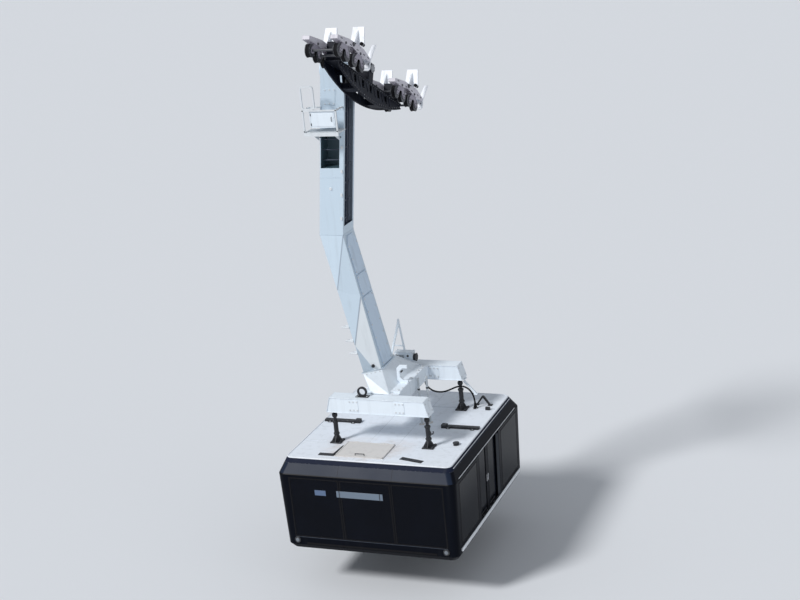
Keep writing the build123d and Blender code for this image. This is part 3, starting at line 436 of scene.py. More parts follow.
def on_slope(paint):
    """How far a surface point lies downhill along the ropes, and above their plane."""
    _, y, z = paint.axes()
    return y * DOWNHILL.y + z * DOWNHILL.z, y * AWAY.y + z * AWAY.z


def fin_zone(paint):
    """The equalizers' upright and guide plates, brighter than their cheeks."""
    along, above = on_slope(paint)
    guides = 0.0
    for truck in TRUCKS:
        guides = guides + along.near(truck + GUIDE_S, 0.03)
    return (above.above(CHEEK_TOP_T, 0.004) + guides).clamped(), linear(246, 249, 255)


def beam_highlight_zone(paint):
    """Lighter diagonal streaks on the main beam's sides: painted highlights."""
    along, above = on_slope(paint)
    stripes = (along + above * 0.9).repeat(0.24).near(0.0, 0.012, 0.01)
    return stripes * paint.noise(5.0).above(0.45, 0.15) * 0.5, linear(74, 86, 112)


def underside_zone(paint):
    """Seams of the floor's underside."""
    x, y, z = paint.axes()
    under = (z - FLOOR_Z).near(0.0, 0.01)
    lines = (x.repeat(0.74).near(0.0, 0.006) + (y - PIVOT.y).repeat(0.86).near(0.0, 0.006)).clamped()
    return under * lines, linear(52, 56, 62)


def glazing(colour):
    """Dark tinted glass with a faint haze."""
    glass = Paint("tinted_glass", ior=1.5, specular_ior_level=0.10)
    haze = glass.noise(1.4, detail=3.0)
    drips = glass.noise(5.0, detail=4.0, stretch=(1.0, 1.0, 0.1)).above(0.55, 0.2)
    glass.set("Base Color", glass.mix(haze.above(0.45, 0.4), colour, tuple(v * 1.5 for v in colour)))
    glass.set("Roughness", 0.07 + haze * 0.08 + drips * 0.12)
    glass.set("Alpha", 0.95)
    return glass


# Finishes that mirror less, or more, than the rest
SPECULAR_LEVELS = {"body": 0.04, "roof": 0.15, "rubber": 0.15, "dark": 0.15, "trim": 0.7}


def make_paints(finish):
    """All finishes by name."""
    hanger, beams, body = tuple(finish.hanger_colour), tuple(finish.beam_colour), tuple(finish.body_colour)
    roof, dirt = tuple(finish.roof_colour), finish.dirt
    paints = {
        # The hanger carries painted shade in the mast's recess and along the arm's folds, painted dim light
        # behind the hatch and a painted highlight on the arm's lower front
        "hanger": coated("hanger_white", hanger, grime=0.24 * dirt,
                         zones=(recess_shade_zone, hatch_dim_light_zone, arm_low_highlight_zone, arm_fold_shade_zone)),
        "white": coated("beam_white", beams, grime=0.22 * dirt),
        "panel": coated("panel_grey", linear(206, 224, 242), grime=0.3 * dirt),
        # The dark carriage paint carries painted highlights in streaks on the main beam
        "dark": coated("carriage_dark", linear(15, 19, 31), roughness=0.5, grime=0.15 * dirt, chip=0.3,
                       zones=(beam_highlight_zone,)),
        "conduit": coated("conduit_grey", linear(66, 76, 92), roughness=0.5, grime=0.3 * dirt, chip=0.2),
        "rocker": coated("rocker_grey", linear(158, 154, 166), roughness=0.5, grime=0.5 * dirt, chip=0.5),
        "equalizer": coated("equalizer_grey", linear(206, 203, 212), grime=0.4 * dirt, chip=0.4,
                            zones=(fin_zone,)),
        "black": coated("fitting_black", linear(24, 26, 31), roughness=0.5, grime=0.25 * dirt),
        "grey": coated("fitting_grey", linear(196, 203, 208), grime=0.25 * dirt),
        "roof": coated("roof_coat", roof, roughness=0.6, grime=0.28 * dirt,
                       zones=(roof_seam_zone, roof_warm_zone, lip_zone)),
        "hatch": coated("hatch_coat", linear(217, 214, 211), roughness=0.6, grime=0.3 * dirt),
        # The body carries a painted reflection of the sky on the ends' sloping band
        "body": coated("body_black", body, roughness=0.24, grime=0.06 * dirt, chip=0.05,
                       zones=(band_reflection_zone, band_seam_zone, underside_zone)),
        "zinc": coated("zinc_coat", linear(222, 227, 231), roughness=0.45, grime=0.3 * dirt, edge=0.004,
                       chip=0.1),
        "trim": coated("bright_trim", linear(238, 242, 247), roughness=0.3, grime=0.12 * dirt, edge=0.004,
                       chip=0.1),
        "steel": coated("wheel_steel", linear(64, 66, 72), roughness=0.4, grime=0.4 * dirt, chip=0.8),
        "shaft": coated("shaft_steel", linear(150, 153, 158), roughness=0.3, grime=0.35 * dirt),
        "rubber": coated("cable_rubber", linear(20, 20, 23), roughness=0.7, grime=0.08 * dirt, chip=0.0),
        "lamp": coated("lamp_lens", linear(118, 124, 132), roughness=0.12, grime=0.06 * dirt, chip=0.0),
        "ceiling": coated("ceiling_lamp", linear(200, 204, 208), roughness=0.3, grime=0.06 * dirt, chip=0.0),
        "desk": coated("desk_grey", linear(150, 154, 160), roughness=0.5, grime=0.12 * dirt, chip=0.2),
        "display": coated("display_grey", linear(110, 124, 140), roughness=0.3, grime=0.1 * dirt, chip=0.0),
        "screen": coated("screen_blue", linear(90, 110, 141), roughness=0.3, grime=0.1 * dirt, chip=0.0),
        "mat": coated("floor_mat", linear(58, 62, 68), roughness=0.8, grime=0.3 * dirt, chip=0.0),
        "glass": glazing(tuple(finish.glass_colour)),
    }
    for name, level in SPECULAR_LEVELS.items():
        paints[name].shader.inputs["Specular IOR Level"].default_value = level
    return paints


SLOT_PAINTS = {
    "wheel_steel": "steel", "grey_paint": "grey", "white_paint": "white", "dark_paint": "dark",
    "hanger_paint": "hanger", "bare_steel": "shaft", "black_paint": "black", "roof_paint": "roof",
    "black_body": "body", "dark_glass": "glass", "aluminium_trim": "trim", "lamp_plastic": "lamp",
    "desk_plastic": "desk", "galvanized": "zinc", "black_rubber": "rubber",
}
NODE_PAINTS = {
    "equalizer_beams": "equalizer", "wheel_rockers": "rocker", "roof_hatch": "hatch", "roof_trestle": "black",
    "winch_housing": "white",
}
PAINTS = {}
SHARP_CORNER = math.radians(35)


def node_slots():
    """Material slot of each CAD node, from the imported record."""
    return {part["node"]: part["material_slot"] for part in frame["record"]["subparts"]}


# Mesh building
def square_axes(along, up=(0, 0, 1)):
    """Three unit directions: along, then across, then the nearest to up."""
    along = Vector(along).normalized()
    across = Vector(up).cross(along)
    if across.length < 1e-6:
        across = Vector((1, 0, 0)).cross(along)
    across.normalize()
    return along, across, along.cross(across)


class Shape:
    """One piece's mesh in the making, in metres in the CAD frame."""

    def __init__(self):
        self.mesh = bmesh.new()

    def box(self, centre, size, along=(1, 0, 0), up=(0, 0, 1)):
        """Box round a centre: size along, across and up."""
        axes = square_axes(along, up)
        matrix = Matrix.Translation(centre) @ Matrix(axes).transposed().to_4x4() @ Matrix.Diagonal((*size, 1))
        bmesh.ops.create_cube(self.mesh, size=1.0, matrix=matrix)

    def bar(self, start, end, width, height, up=(0, 0, 1)):
        """Rectangular bar between two points."""
        run = Vector(end) - Vector(start)
        self.box((Vector(start) + Vector(end)) / 2, (run.length, width, height), run, up)

    def rod(self, start, end, radius, end_radius=None, sides=20):
        """Round bar or cone between two points."""
        start, end = Vector(start), Vector(end)
        run = end - start
        turn = run.to_track_quat("Z", "Y").to_matrix().to_4x4()
        bmesh.ops.create_cone(
            self.mesh, cap_ends=True, segments=sides, radius1=radius,
            radius2=radius if end_radius is None else end_radius, depth=run.length,
            matrix=Matrix.Translation((start + end) / 2) @ turn,
        )

    def bolt(self, place, axis, across=0.036):
        """Hexagon head on its washer, standing out from a surface."""
        place, axis = Vector(place), Vector(axis).normalized()
        self.rod(place - axis * 0.002, place + axis * across * 0.12, across * 0.85, sides=12)
        self.rod(place, place + axis * across * 0.55, across * 0.56, sides=6)

    def bolts(self, start, end, count, axis, across=0.036):
        """A row of bolts, first and last on its ends."""
        start, end = Vector(start), Vector(end)
        for index in range(count):
            self.bolt(start.lerp(end, index / (count - 1)), axis, across)

    def circle_of_bolts(self, centre, axis, radius, count, across=0.036):
        """Bolts at even steps round a circle."""
        centre = Vector(centre)
        axis, side, top = square_axes(axis, (0.01, 0.02, 1))
        for right, up in round_steps(count):
            self.bolt(centre + side * radius * right + top * radius * up, axis, across)

    def plate(self, outline, thickness, origin, x_axis, y_axis):
        """Flat plate of an outline, thickened along x_axis cross y_axis."""
        origin, x_axis, y_axis = Vector(origin), Vector(x_axis).normalized(), Vector(y_axis).normalized()
        rise = x_axis.cross(y_axis) * thickness
        low = [self.mesh.verts.new(origin + x_axis * x + y_axis * y) for x, y in outline]
        high = [self.mesh.verts.new(vert.co + rise) for vert in low]
        self.mesh.faces.new(low[::-1])
        self.mesh.faces.new(high)
        for index in range(len(low)):
            after = (index + 1) % len(low)
            self.mesh.faces.new((low[index], low[after], high[after], high[index]))

    def spin(self, profile, centre, axis, sides=40):
        """Solid of revolution: profile points are (distance along the axis, radius), closed on itself."""
        centre = Vector(centre)
        axis, side, top = square_axes(axis, (0.01, 0.02, 1))
        rings = []
        for right, up in round_steps(sides):
            out = side * right + top * up
            points = [centre + axis * along + out * radius for along, radius in profile]
            rings.append([self.mesh.verts.new(point) for point in points])
        for index, ring in enumerate(rings):
            following = rings[(index + 1) % sides]
            for place in range(len(profile)):
                after = (place + 1) % len(profile)
                self.mesh.faces.new((ring[place], ring[after], following[after], following[place]))

    def tube(self, points, radius, sides=12, closed=False):
        """Round tube through points, mitred at its corners."""
        points = [Vector(point) for point in points]
        count = len(points)
        rings = []
        side = None
        for index, point in enumerate(points):
            before = points[index - 1] if index or closed else None
            after = points[(index + 1) % count] if index < count - 1 or closed else None
            came = (point - before).normalized() if before is not None else (after - point).normalized()
            goes = (after - point).normalized() if after is not None else came
            along = (came + goes).normalized()
            if side is None:
                side = square_axes(along, (0.013, 0.021, 1))[1]
            side = (side - along * side.dot(along)).normalized()
            top = along.cross(side)
            stretch = 1 / max(0.4, along.dot(came))
            fold = goes - came
            fold = fold.normalized() if fold.length > 1e-6 else None
            ring = []
            for right, up in round_steps(sides):
                out = side * right * radius + top * up * radius
                if fold is not None:
                    out += fold * out.dot(fold) * (stretch - 1)
                ring.append(self.mesh.verts.new(point + out))
            rings.append(ring)
        for index in range(count if closed else count - 1):
            ring, following = rings[index], rings[(index + 1) % count]
            for step in range(sides):
                after = (step + 1) % sides
                self.mesh.faces.new((ring[step], ring[after], following[after], following[step]))
        if not closed:
            self.mesh.faces.new(rings[0][::-1])
            self.mesh.faces.new(rings[-1])

    def frame(self, corners, width, height, normal):
        """Bars round a closed outline, set on a surface with this normal."""
        normal = Vector(normal).normalized()
        for index, corner in enumerate(corners):
            start, end = Vector(corner), Vector(corners[(index + 1) % len(corners)])
            run = (end - start).normalized() * width / 2
            lift = normal * height / 2
            self.bar(start - run + lift, end + run + lift, width, height, normal)

    def done(self, name, paint, body, slot, edge=0.0, smooth=False):
        """Makes the object, gives it its paint and body, and rounds its edges by so much. The slot is not
        used.
        """
        bmesh.ops.recalc_face_normals(self.mesh, faces=self.mesh.faces)
        data = bpy.data.meshes.new(name)
        self.mesh.to_mesh(data)
        self.mesh.free()
        if smooth:
            data.shade_smooth()
        data.materials.append(PAINTS[paint].material)
        piece = bpy.data.objects.new(name, data)
        bpy.context.scene.collection.objects.link(piece)
        if edge:
            rounding = piece.modifiers.new("rounded edges", "BEVEL")
            rounding.width = edge
            rounding.segments = 2
            rounding.limit_method = "ANGLE"
            rounding.angle_limit = SHARP_CORNER
        if smooth:
            corners = piece.modifiers.new("sharp corners", "EDGE_SPLIT")
            corners.split_angle = SHARP_CORNER
        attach(piece, body)
        return piece


# Settings
class TramwayFinish(bpy.types.PropertyGroup):
    """Colours and dirt that the finishes start from"""

    hanger_colour: bpy.props.FloatVectorProperty(
        name="Hanger", description="Colour of the mast and arm", subtype="COLOR", min=0.0, max=1.0,
        default=linear(204, 220, 233),
    )
    beam_colour: bpy.props.FloatVectorProperty(
        name="Beams", description="Colour of the crossbeams and the frame between them", subtype="COLOR",
        min=0.0, max=1.0, default=linear(235, 244, 252),
    )
    roof_colour: bpy.props.FloatVectorProperty(
        name="Roof", description="Colour of the cabin's roof", subtype="COLOR", min=0.0, max=1.0,
        default=linear(234, 240, 248),
    )
    body_colour: bpy.props.FloatVectorProperty(
        name="Body", description="Colour of the cabin's walls", subtype="COLOR", min=0.0, max=1.0,
        default=linear(13, 16, 24),
    )
    glass_colour: bpy.props.FloatVectorProperty(
        name="Glass", description="Tint of the windows", subtype="COLOR", min=0.0, max=1.0,
        default=linear(6, 9, 18),
    )
    dirt: bpy.props.FloatProperty(
        name="Dirt", description="How strongly rain marks and dust show", subtype="FACTOR", min=0.0, max=2.0,
        default=1.0,
    )


class TramwayFittings(bpy.types.PropertyGroup):
    """Sizes of the small fittings"""

    bolt_size: bpy.props.FloatProperty(
        name="Bolt size", description="Width of the frame's bolt heads across their flats", unit="LENGTH",
        min=0.01, max=0.08, default=0.036,
    )
    gasket_width: bpy.props.FloatProperty(
        name="Gasket width", description="Width of the rubber round each window", unit="LENGTH", min=0.01,
        max=0.06, default=0.032,
    )
    weld_size: bpy.props.FloatProperty(
        name="Weld size", description="Thickness of the weld beads", unit="LENGTH", min=0.004, max=0.03,
        default=0.012,
    )


def fittings(context):
    """The sizes that the user may have changed."""
    return context.scene.tramway_fittings


X_AXIS, Y_AXIS, Z_AXIS = Vector((1, 0, 0)), Vector((0, 1, 0)), Vector((0, 0, 1))
CARRIAGE = "carriage"
HANGER = "hanger_and_cabin"


# Carriage
class TRAMWAY_OT_wheels(bpy.types.Operator):
    """Rubber liners in the wheels' grooves and hub plates on their faces"""

    bl_idname = "tramway.wheels"
    bl_label = "Wheel liners and hubs"

    def execute(self, context):
        liner = [(-0.040, 0.1475), (-0.040, 0.1570), (-0.018, 0.1500), (0.018, 0.1500), (0.040, 0.1570),
                 (0.040, 0.1475)]
        rim = [(0.0, 0.118), (0.0035, 0.120), (0.0035, 0.132), (0.0, 0.134)]
        for number, place in enumerate(AXLES, 1):
            liners, hubs = Shape(), Shape()
            for x in (-ROW_X, ROW_X):
                centre = on_carriage(x, place, AXLE_T)
                liners.spin(liner, centre, X_AXIS, sides=48)
                for side in (-1, 1):
                    face = centre + X_AXIS * side * WHEEL_FACE
                    hubs.rod(face, face + X_AXIS * side * 0.004, 0.068, 0.062, sides=28)
                    hubs.spin(rim, face, X_AXIS * side, sides=40)
                    for along, up in round_steps(6):
                        spot = face + (DOWNHILL * along + AWAY * up) * 0.092
                        hubs.rod(spot, spot + X_AXIS * side * 0.0045, 0.011, sides=6)
            body = f"wheelset_{number:02d}"
            liners.done(f"wheel_liners_{number:02d}", "rubber", body, "black_rubber", smooth=True)
            hubs.done(f"wheel_hubs_{number:02d}", "steel", body, "wheel_steel")
        return {"FINISHED"}


class TRAMWAY_OT_trucks(bpy.types.Operator):
    """Pins, locking plates, keeper bolts, buffers and rims on the rockers and equalizers"""

    bl_idname = "tramway.trucks"
    bl_label = "Rocker and equalizer fittings"

    def execute(self, context):
        pins, keepers, buffers, rims, joints = (Shape() for _ in range(5))
        for x in (-ROW_X, ROW_X):
            outer = 1 if x > 0 else -1
            for place in AXLES:
                for s in (-0.034, 0.034):
                    for t in (-0.034, 0.034):
                        spot = on_carriage(x + outer * KEEPER_FACE, place + s, AXLE_T + t)
                        keepers.bolt(spot, X_AXIS * outer, 0.017)
            for place in ROCKERS:
                for side in (-1, 1):
                    spot = on_carriage(x + side * CHEEK_FACE, place, ROCKER_PIN_T)
                    pins.rod(spot, spot + X_AXIS * side * 0.018, 0.034, 0.030, sides=24)
                    pins.bolt(spot + X_AXIS * side * 0.018, X_AXIS * side, 0.022)
            for truck in TRUCKS:
                self.equalizer(x, outer, truck, pins, buffers, rims, joints)
        pins.done("truck_pins", "steel", CARRIAGE, "bare_steel", edge=0.002)
        keepers.done("keeper_bolts", "steel", CARRIAGE, "bare_steel")
        buffers.done("truck_buffers", "rubber", CARRIAGE, "black_rubber", edge=0.004)
        rims.done("plate_rims", "white", CARRIAGE, "white_paint", smooth=True)
        joints.done("equalizer_bolts", "steel", CARRIAGE, "bare_steel")
        return {"FINISHED"}

    def equalizer(self, x, outer, truck, pins, buffers, rims, joints):
        """Fittings of one equalizer."""
        pin = on_carriage(x + outer * CHEEK_FACE, truck, EQUALIZER_PIN_T)
        pins.rod(pin, pin + X_AXIS * outer * 0.024, 0.052, 0.048, sides=28)
        pins.box(pin + X_AXIS * outer * 0.028 + AWAY * 0.030, (0.012, 0.13, 0.026), X_AXIS, AWAY)
        middle = pin + AWAY * 0.03 + X_AXIS * outer * 0.034
        joints.bolts(middle - DOWNHILL * 0.05, middle + DOWNHILL * 0.05, 2, X_AXIS * outer, 0.018)
        for s in (-0.72, -0.18, 0.22, 0.62, 0.86):
            spot = on_carriage(x + outer * CHEEK_FACE, truck + s, 0.445)
            joints.bolts(spot, spot + DOWNHILL * 0.06, 2, X_AXIS * outer, 0.02)
        for side in (-1, 1):
            # Rim of the oval handhole in the upright plate
            middle = on_carriage(x, truck + FIN_S + side * 0.020, 0.83)
            ring = [middle + X_AXIS * 0.052 * across + AWAY * 0.105 * up for across, up in round_steps(28)]
            rims.tube(ring, 0.006, sides=8, closed=True)
            # Buffers beside the plate's foot
            for edge in (-1, 1):
                spot = on_carriage(x + edge * 0.125, truck + FIN_S + side * 0.020, 0.625)
                buffers.rod(spot, spot + DOWNHILL * side * 0.055, 0.046, 0.040, sides=24)
                buffers.rod(spot + DOWNHILL * side * 0.055, spot + DOWNHILL * side * 0.070, 0.020, sides=12)
            # Border and bolts of the guide plate
            plate = on_carriage(x, truck + GUIDE_S + side * 0.015, 0.31)
            border = ((-0.07, -0.08), (0.07, -0.08), (0.07, 0.10), (-0.07, 0.10))
            rims.tube([plate + X_AXIS * across + AWAY * up for across, up in border], 0.007, 6, closed=True)
            for place in (-0.05, 0.05):
                joints.bolt(plate + X_AXIS * place + AWAY * 0.02, DOWNHILL * side, 0.022)


class TRAMWAY_OT_main_beam(bpy.types.Operator):
    """Flanges, bolts and shaft plates on the main beam, and springs on the rope clamps"""

    bl_idname = "tramway.main_beam"
    bl_label = "Main beam fittings"

    def execute(self, context):
        flanges, bolts, caps, springs = Shape(), Shape(), Shape(), Shape()
        steps = 28
        for side in (-1, 1):
            face = side * BEAM_HALF_WIDTH
            lower, upper = [], []
            for index in range(steps + 1):
                s = BEAM_HALF_LENGTH * (2 * index / steps - 1)
                lower.append((s, belly_t(s) + 0.004))
                upper.append((s, min(belly_t(s) + 0.034, 0.08)))
            flanges.plate(lower + upper[::-1], 0.022 * side, (face, 0, 0), DOWNHILL, AWAY)
            start = on_carriage(face + side * 0.011, -BEAM_HALF_LENGTH + 0.01, 0.080)
            flanges.bar(start, start + DOWNHILL * (2 * BEAM_HALF_LENGTH - 0.02), 0.022, 0.022, AWAY)
            for step in range(31):
                s = -1.80 + 0.12 * step
                bolts.bolt(on_carriage(face, s, 0.050), X_AXIS * side, 0.024)
                t = belly_t(s) + 0.058
                if t < -0.02:
                    bolts.bolt(on_carriage(face, s, t), X_AXIS * side, 0.024)
            # Slanting stiffeners
            for step in range(6):
                line = [on_carriage(face + side * 0.006, 0.48 * step - 1.20 + lean, t)
                        for lean, t in ((0.09, -0.17), (-0.09, 0.03))]
                flanges.bar(*line, 0.03, 0.012, X_AXIS * side)
        # Plates at both ends of the pivot shaft
        shaft = on_carriage(BEAM_HALF_WIDTH, 0, PIVOT_T)
        caps.rod(shaft - X_AXIS * 0.001, shaft + X_AXIS * 0.018, 0.105, 0.100, sides=36)
        caps.circle_of_bolts(shaft + X_AXIS * 0.018, X_AXIS, 0.078, 8, 0.024)
        outer_end = Vector((HEAD_X - BOSS_REACH - 0.046, PIVOT.y, PIVOT.z))
        caps.circle_of_bolts(outer_end, -X_AXIS, 0.110, 10, 0.026)
        caps.rod(outer_end, outer_end - X_AXIS * 0.012, 0.060, 0.056, sides=28)
        # Springs of the rope clamps
        for s in (-0.75, 0.75):
            for place in (-0.10, 0.0, 0.10):
                for x in (-0.09, 0.09):
                    foot = on_carriage(x, s + place, -0.165)
                    springs.rod(foot, foot + AWAY * 0.10, 0.030, sides=18)
                    springs.rod(foot + AWAY * 0.10, foot + AWAY * 0.125, 0.018, sides=6)
        flanges.done("beam_flanges", "dark", CARRIAGE, "dark_paint", edge=0.003)
        bolts.done("beam_bolts", "steel", CARRIAGE, "bare_steel")
        caps.done("shaft_plates", "shaft", CARRIAGE, "bare_steel", edge=0.002)
        springs.done("clamp_springs", "steel", CARRIAGE, "bare_steel", edge=0.002)
        return {"FINISHED"}


# Hanger
class TRAMWAY_OT_mast(bpy.types.Operator):
    """Boss bolts, weld beads, inspection cover, conduits in the recess and rungs behind the hatch"""

    bl_idname = "tramway.mast"
    bl_label = "Mast fittings"

    def execute(self, context):
        sizes = fittings(context)
        bolts, welds, cover, tray, rungs = (Shape() for _ in range(5))
        for side in (-1, 1):
            boss = (HEAD_X + side * BOSS_REACH, PIVOT.y, PIVOT.z)
            bolts.circle_of_bolts(boss, X_AXIS * side, 0.205, 12, 0.034)
        for drop in (0.92, 2.62, KNEE_DROP):
            middle = mast_x(drop)
            corners = [on_hanger(middle + x * MAST_HALF_WIDTH, y * MAST_HALF_DEPTH, drop)
                       for x, y in SQUARE]
            if drop < KNEE_DROP:
                # The recess interrupts the inner side
                open_run = [corners[index] for index in (1, 0, 3, 2)]
                welds.tube(open_run, sizes.weld_size / 2, sides=8)
            else:
                welds.tube(corners, sizes.weld_size / 2, sides=8, closed=True)
        # Inspection cover and a plug on the front
        lean = Vector((MAST_LEAN, 0, 1)).normalized()
        spot = on_hanger(mast_x(0.60) - 0.06, -MAST_HALF_DEPTH - 0.004, 0.60)
        cover.box(spot, (0.30, 0.40, 0.008), lean.cross(Y_AXIS), -Y_AXIS)
        for along in (-0.12, 0.0, 0.12):
            for up in (-0.17, 0.17):
                bolts.bolt(spot - Y_AXIS * 0.004 + X_AXIS * along + lean * up, -Y_AXIS, 0.022)
        plug = on_hanger(mast_x(2.9) - 0.02, -MAST_HALF_DEPTH, 2.9)
        bolts.rod(plug, plug - Y_AXIS * 0.018, 0.042, 0.036, sides=24)
        # Clamp blocks down the front's inner edge
        for step in range(4):
            drop = 1.86 + 0.60 * step
            spot = on_hanger(mast_x(drop) + MAST_HALF_WIDTH - 0.04, -MAST_HALF_DEPTH - 0.012, drop)
            bolts.box(spot, (0.05, 0.024, 0.08))
        self.recess_and_hatch(tray, rungs)
        bolts.done("mast_bolts", "zinc", HANGER, "galvanized")
        welds.done("mast_welds", "hanger", HANGER, "hanger_paint", smooth=True)
        cover.done("mast_covers", "hanger", HANGER, "hanger_paint", edge=0.002)
        tray.done("mast_conduits", "conduit", HANGER, "dark_paint", edge=0.002, smooth=True)
        rungs.done("hatch_rungs", "conduit", HANGER, "dark_paint", smooth=True)
        return {"FINISHED"}

    def recess_and_hatch(self, tray, rungs):
        """Conduits down the recess with their clips, and rungs behind the hatch."""
        for y, radius in ((-0.19, 0.020), (-0.13, 0.014), (0.12, 0.020), (0.18, 0.020)):
            points = [on_hanger(mast_x(drop) + MAST_HALF_WIDTH - 0.055, y, drop) for drop in (0.36, 3.85)]
            tray.tube(points, radius, sides=12)
        for step in range(8):
            drop = 0.55 + 0.45 * step
            for y in (-0.16, 0.15):
                spot = on_hanger(mast_x(drop) + MAST_HALF_WIDTH - 0.052, y, drop)
                tray.box(spot, (0.050, 0.13, 0.030), X_AXIS, Z_AXIS)
        for step in range(3):
            drop = 1.68 + 0.26 * step
            points = [on_hanger(mast_x(drop) + x, -0.20, drop) for x in (-0.285, 0.205)]
            rungs.tube(points, 0.014, sides=12)


def arm_corner(inner, face, share):
    """Point on one of the arm's four edges, at a share of the way from the knee to the foot."""
    drop = KNEE_DROP + ARM_FALL * share
    if inner:
        x, spread = KNEE_X + MAST_HALF_WIDTH + ARM_INNER_SHIFT * share, ARM_INNER_SPREAD
    else:
        x, spread = KNEE_X - MAST_HALF_WIDTH + ARM_OUTER_SHIFT * share, ARM_OUTER_SPREAD
    return on_hanger(x, face * (MAST_HALF_DEPTH + spread * share), drop)


OUTER_FOLDS = (0.0, 0.36, 0.72, 1.0)      # shares of the arm's length where folds meet its edges
INNER_FOLDS = (0.0, 0.41, 1.0)
ARM_RING = ((False, -1), (True, -1), (True, 1), (False, 1))    # inner or outer, near or far


def fold_line(inner_share, outer_share):
    """Both ends of a fold as (x, drop), the upper one first."""
    inner, outer = arm_corner(True, 1, inner_share), arm_corner(False, 1, outer_share)
    ends = [(point.x, PIVOT.z - point.z) for point in (inner, outer)]
    return sorted(ends, key=lambda end: end[1])


ARM_FOLDS = (fold_line(0.0, 0.36), fold_line(0.41, 0.72))


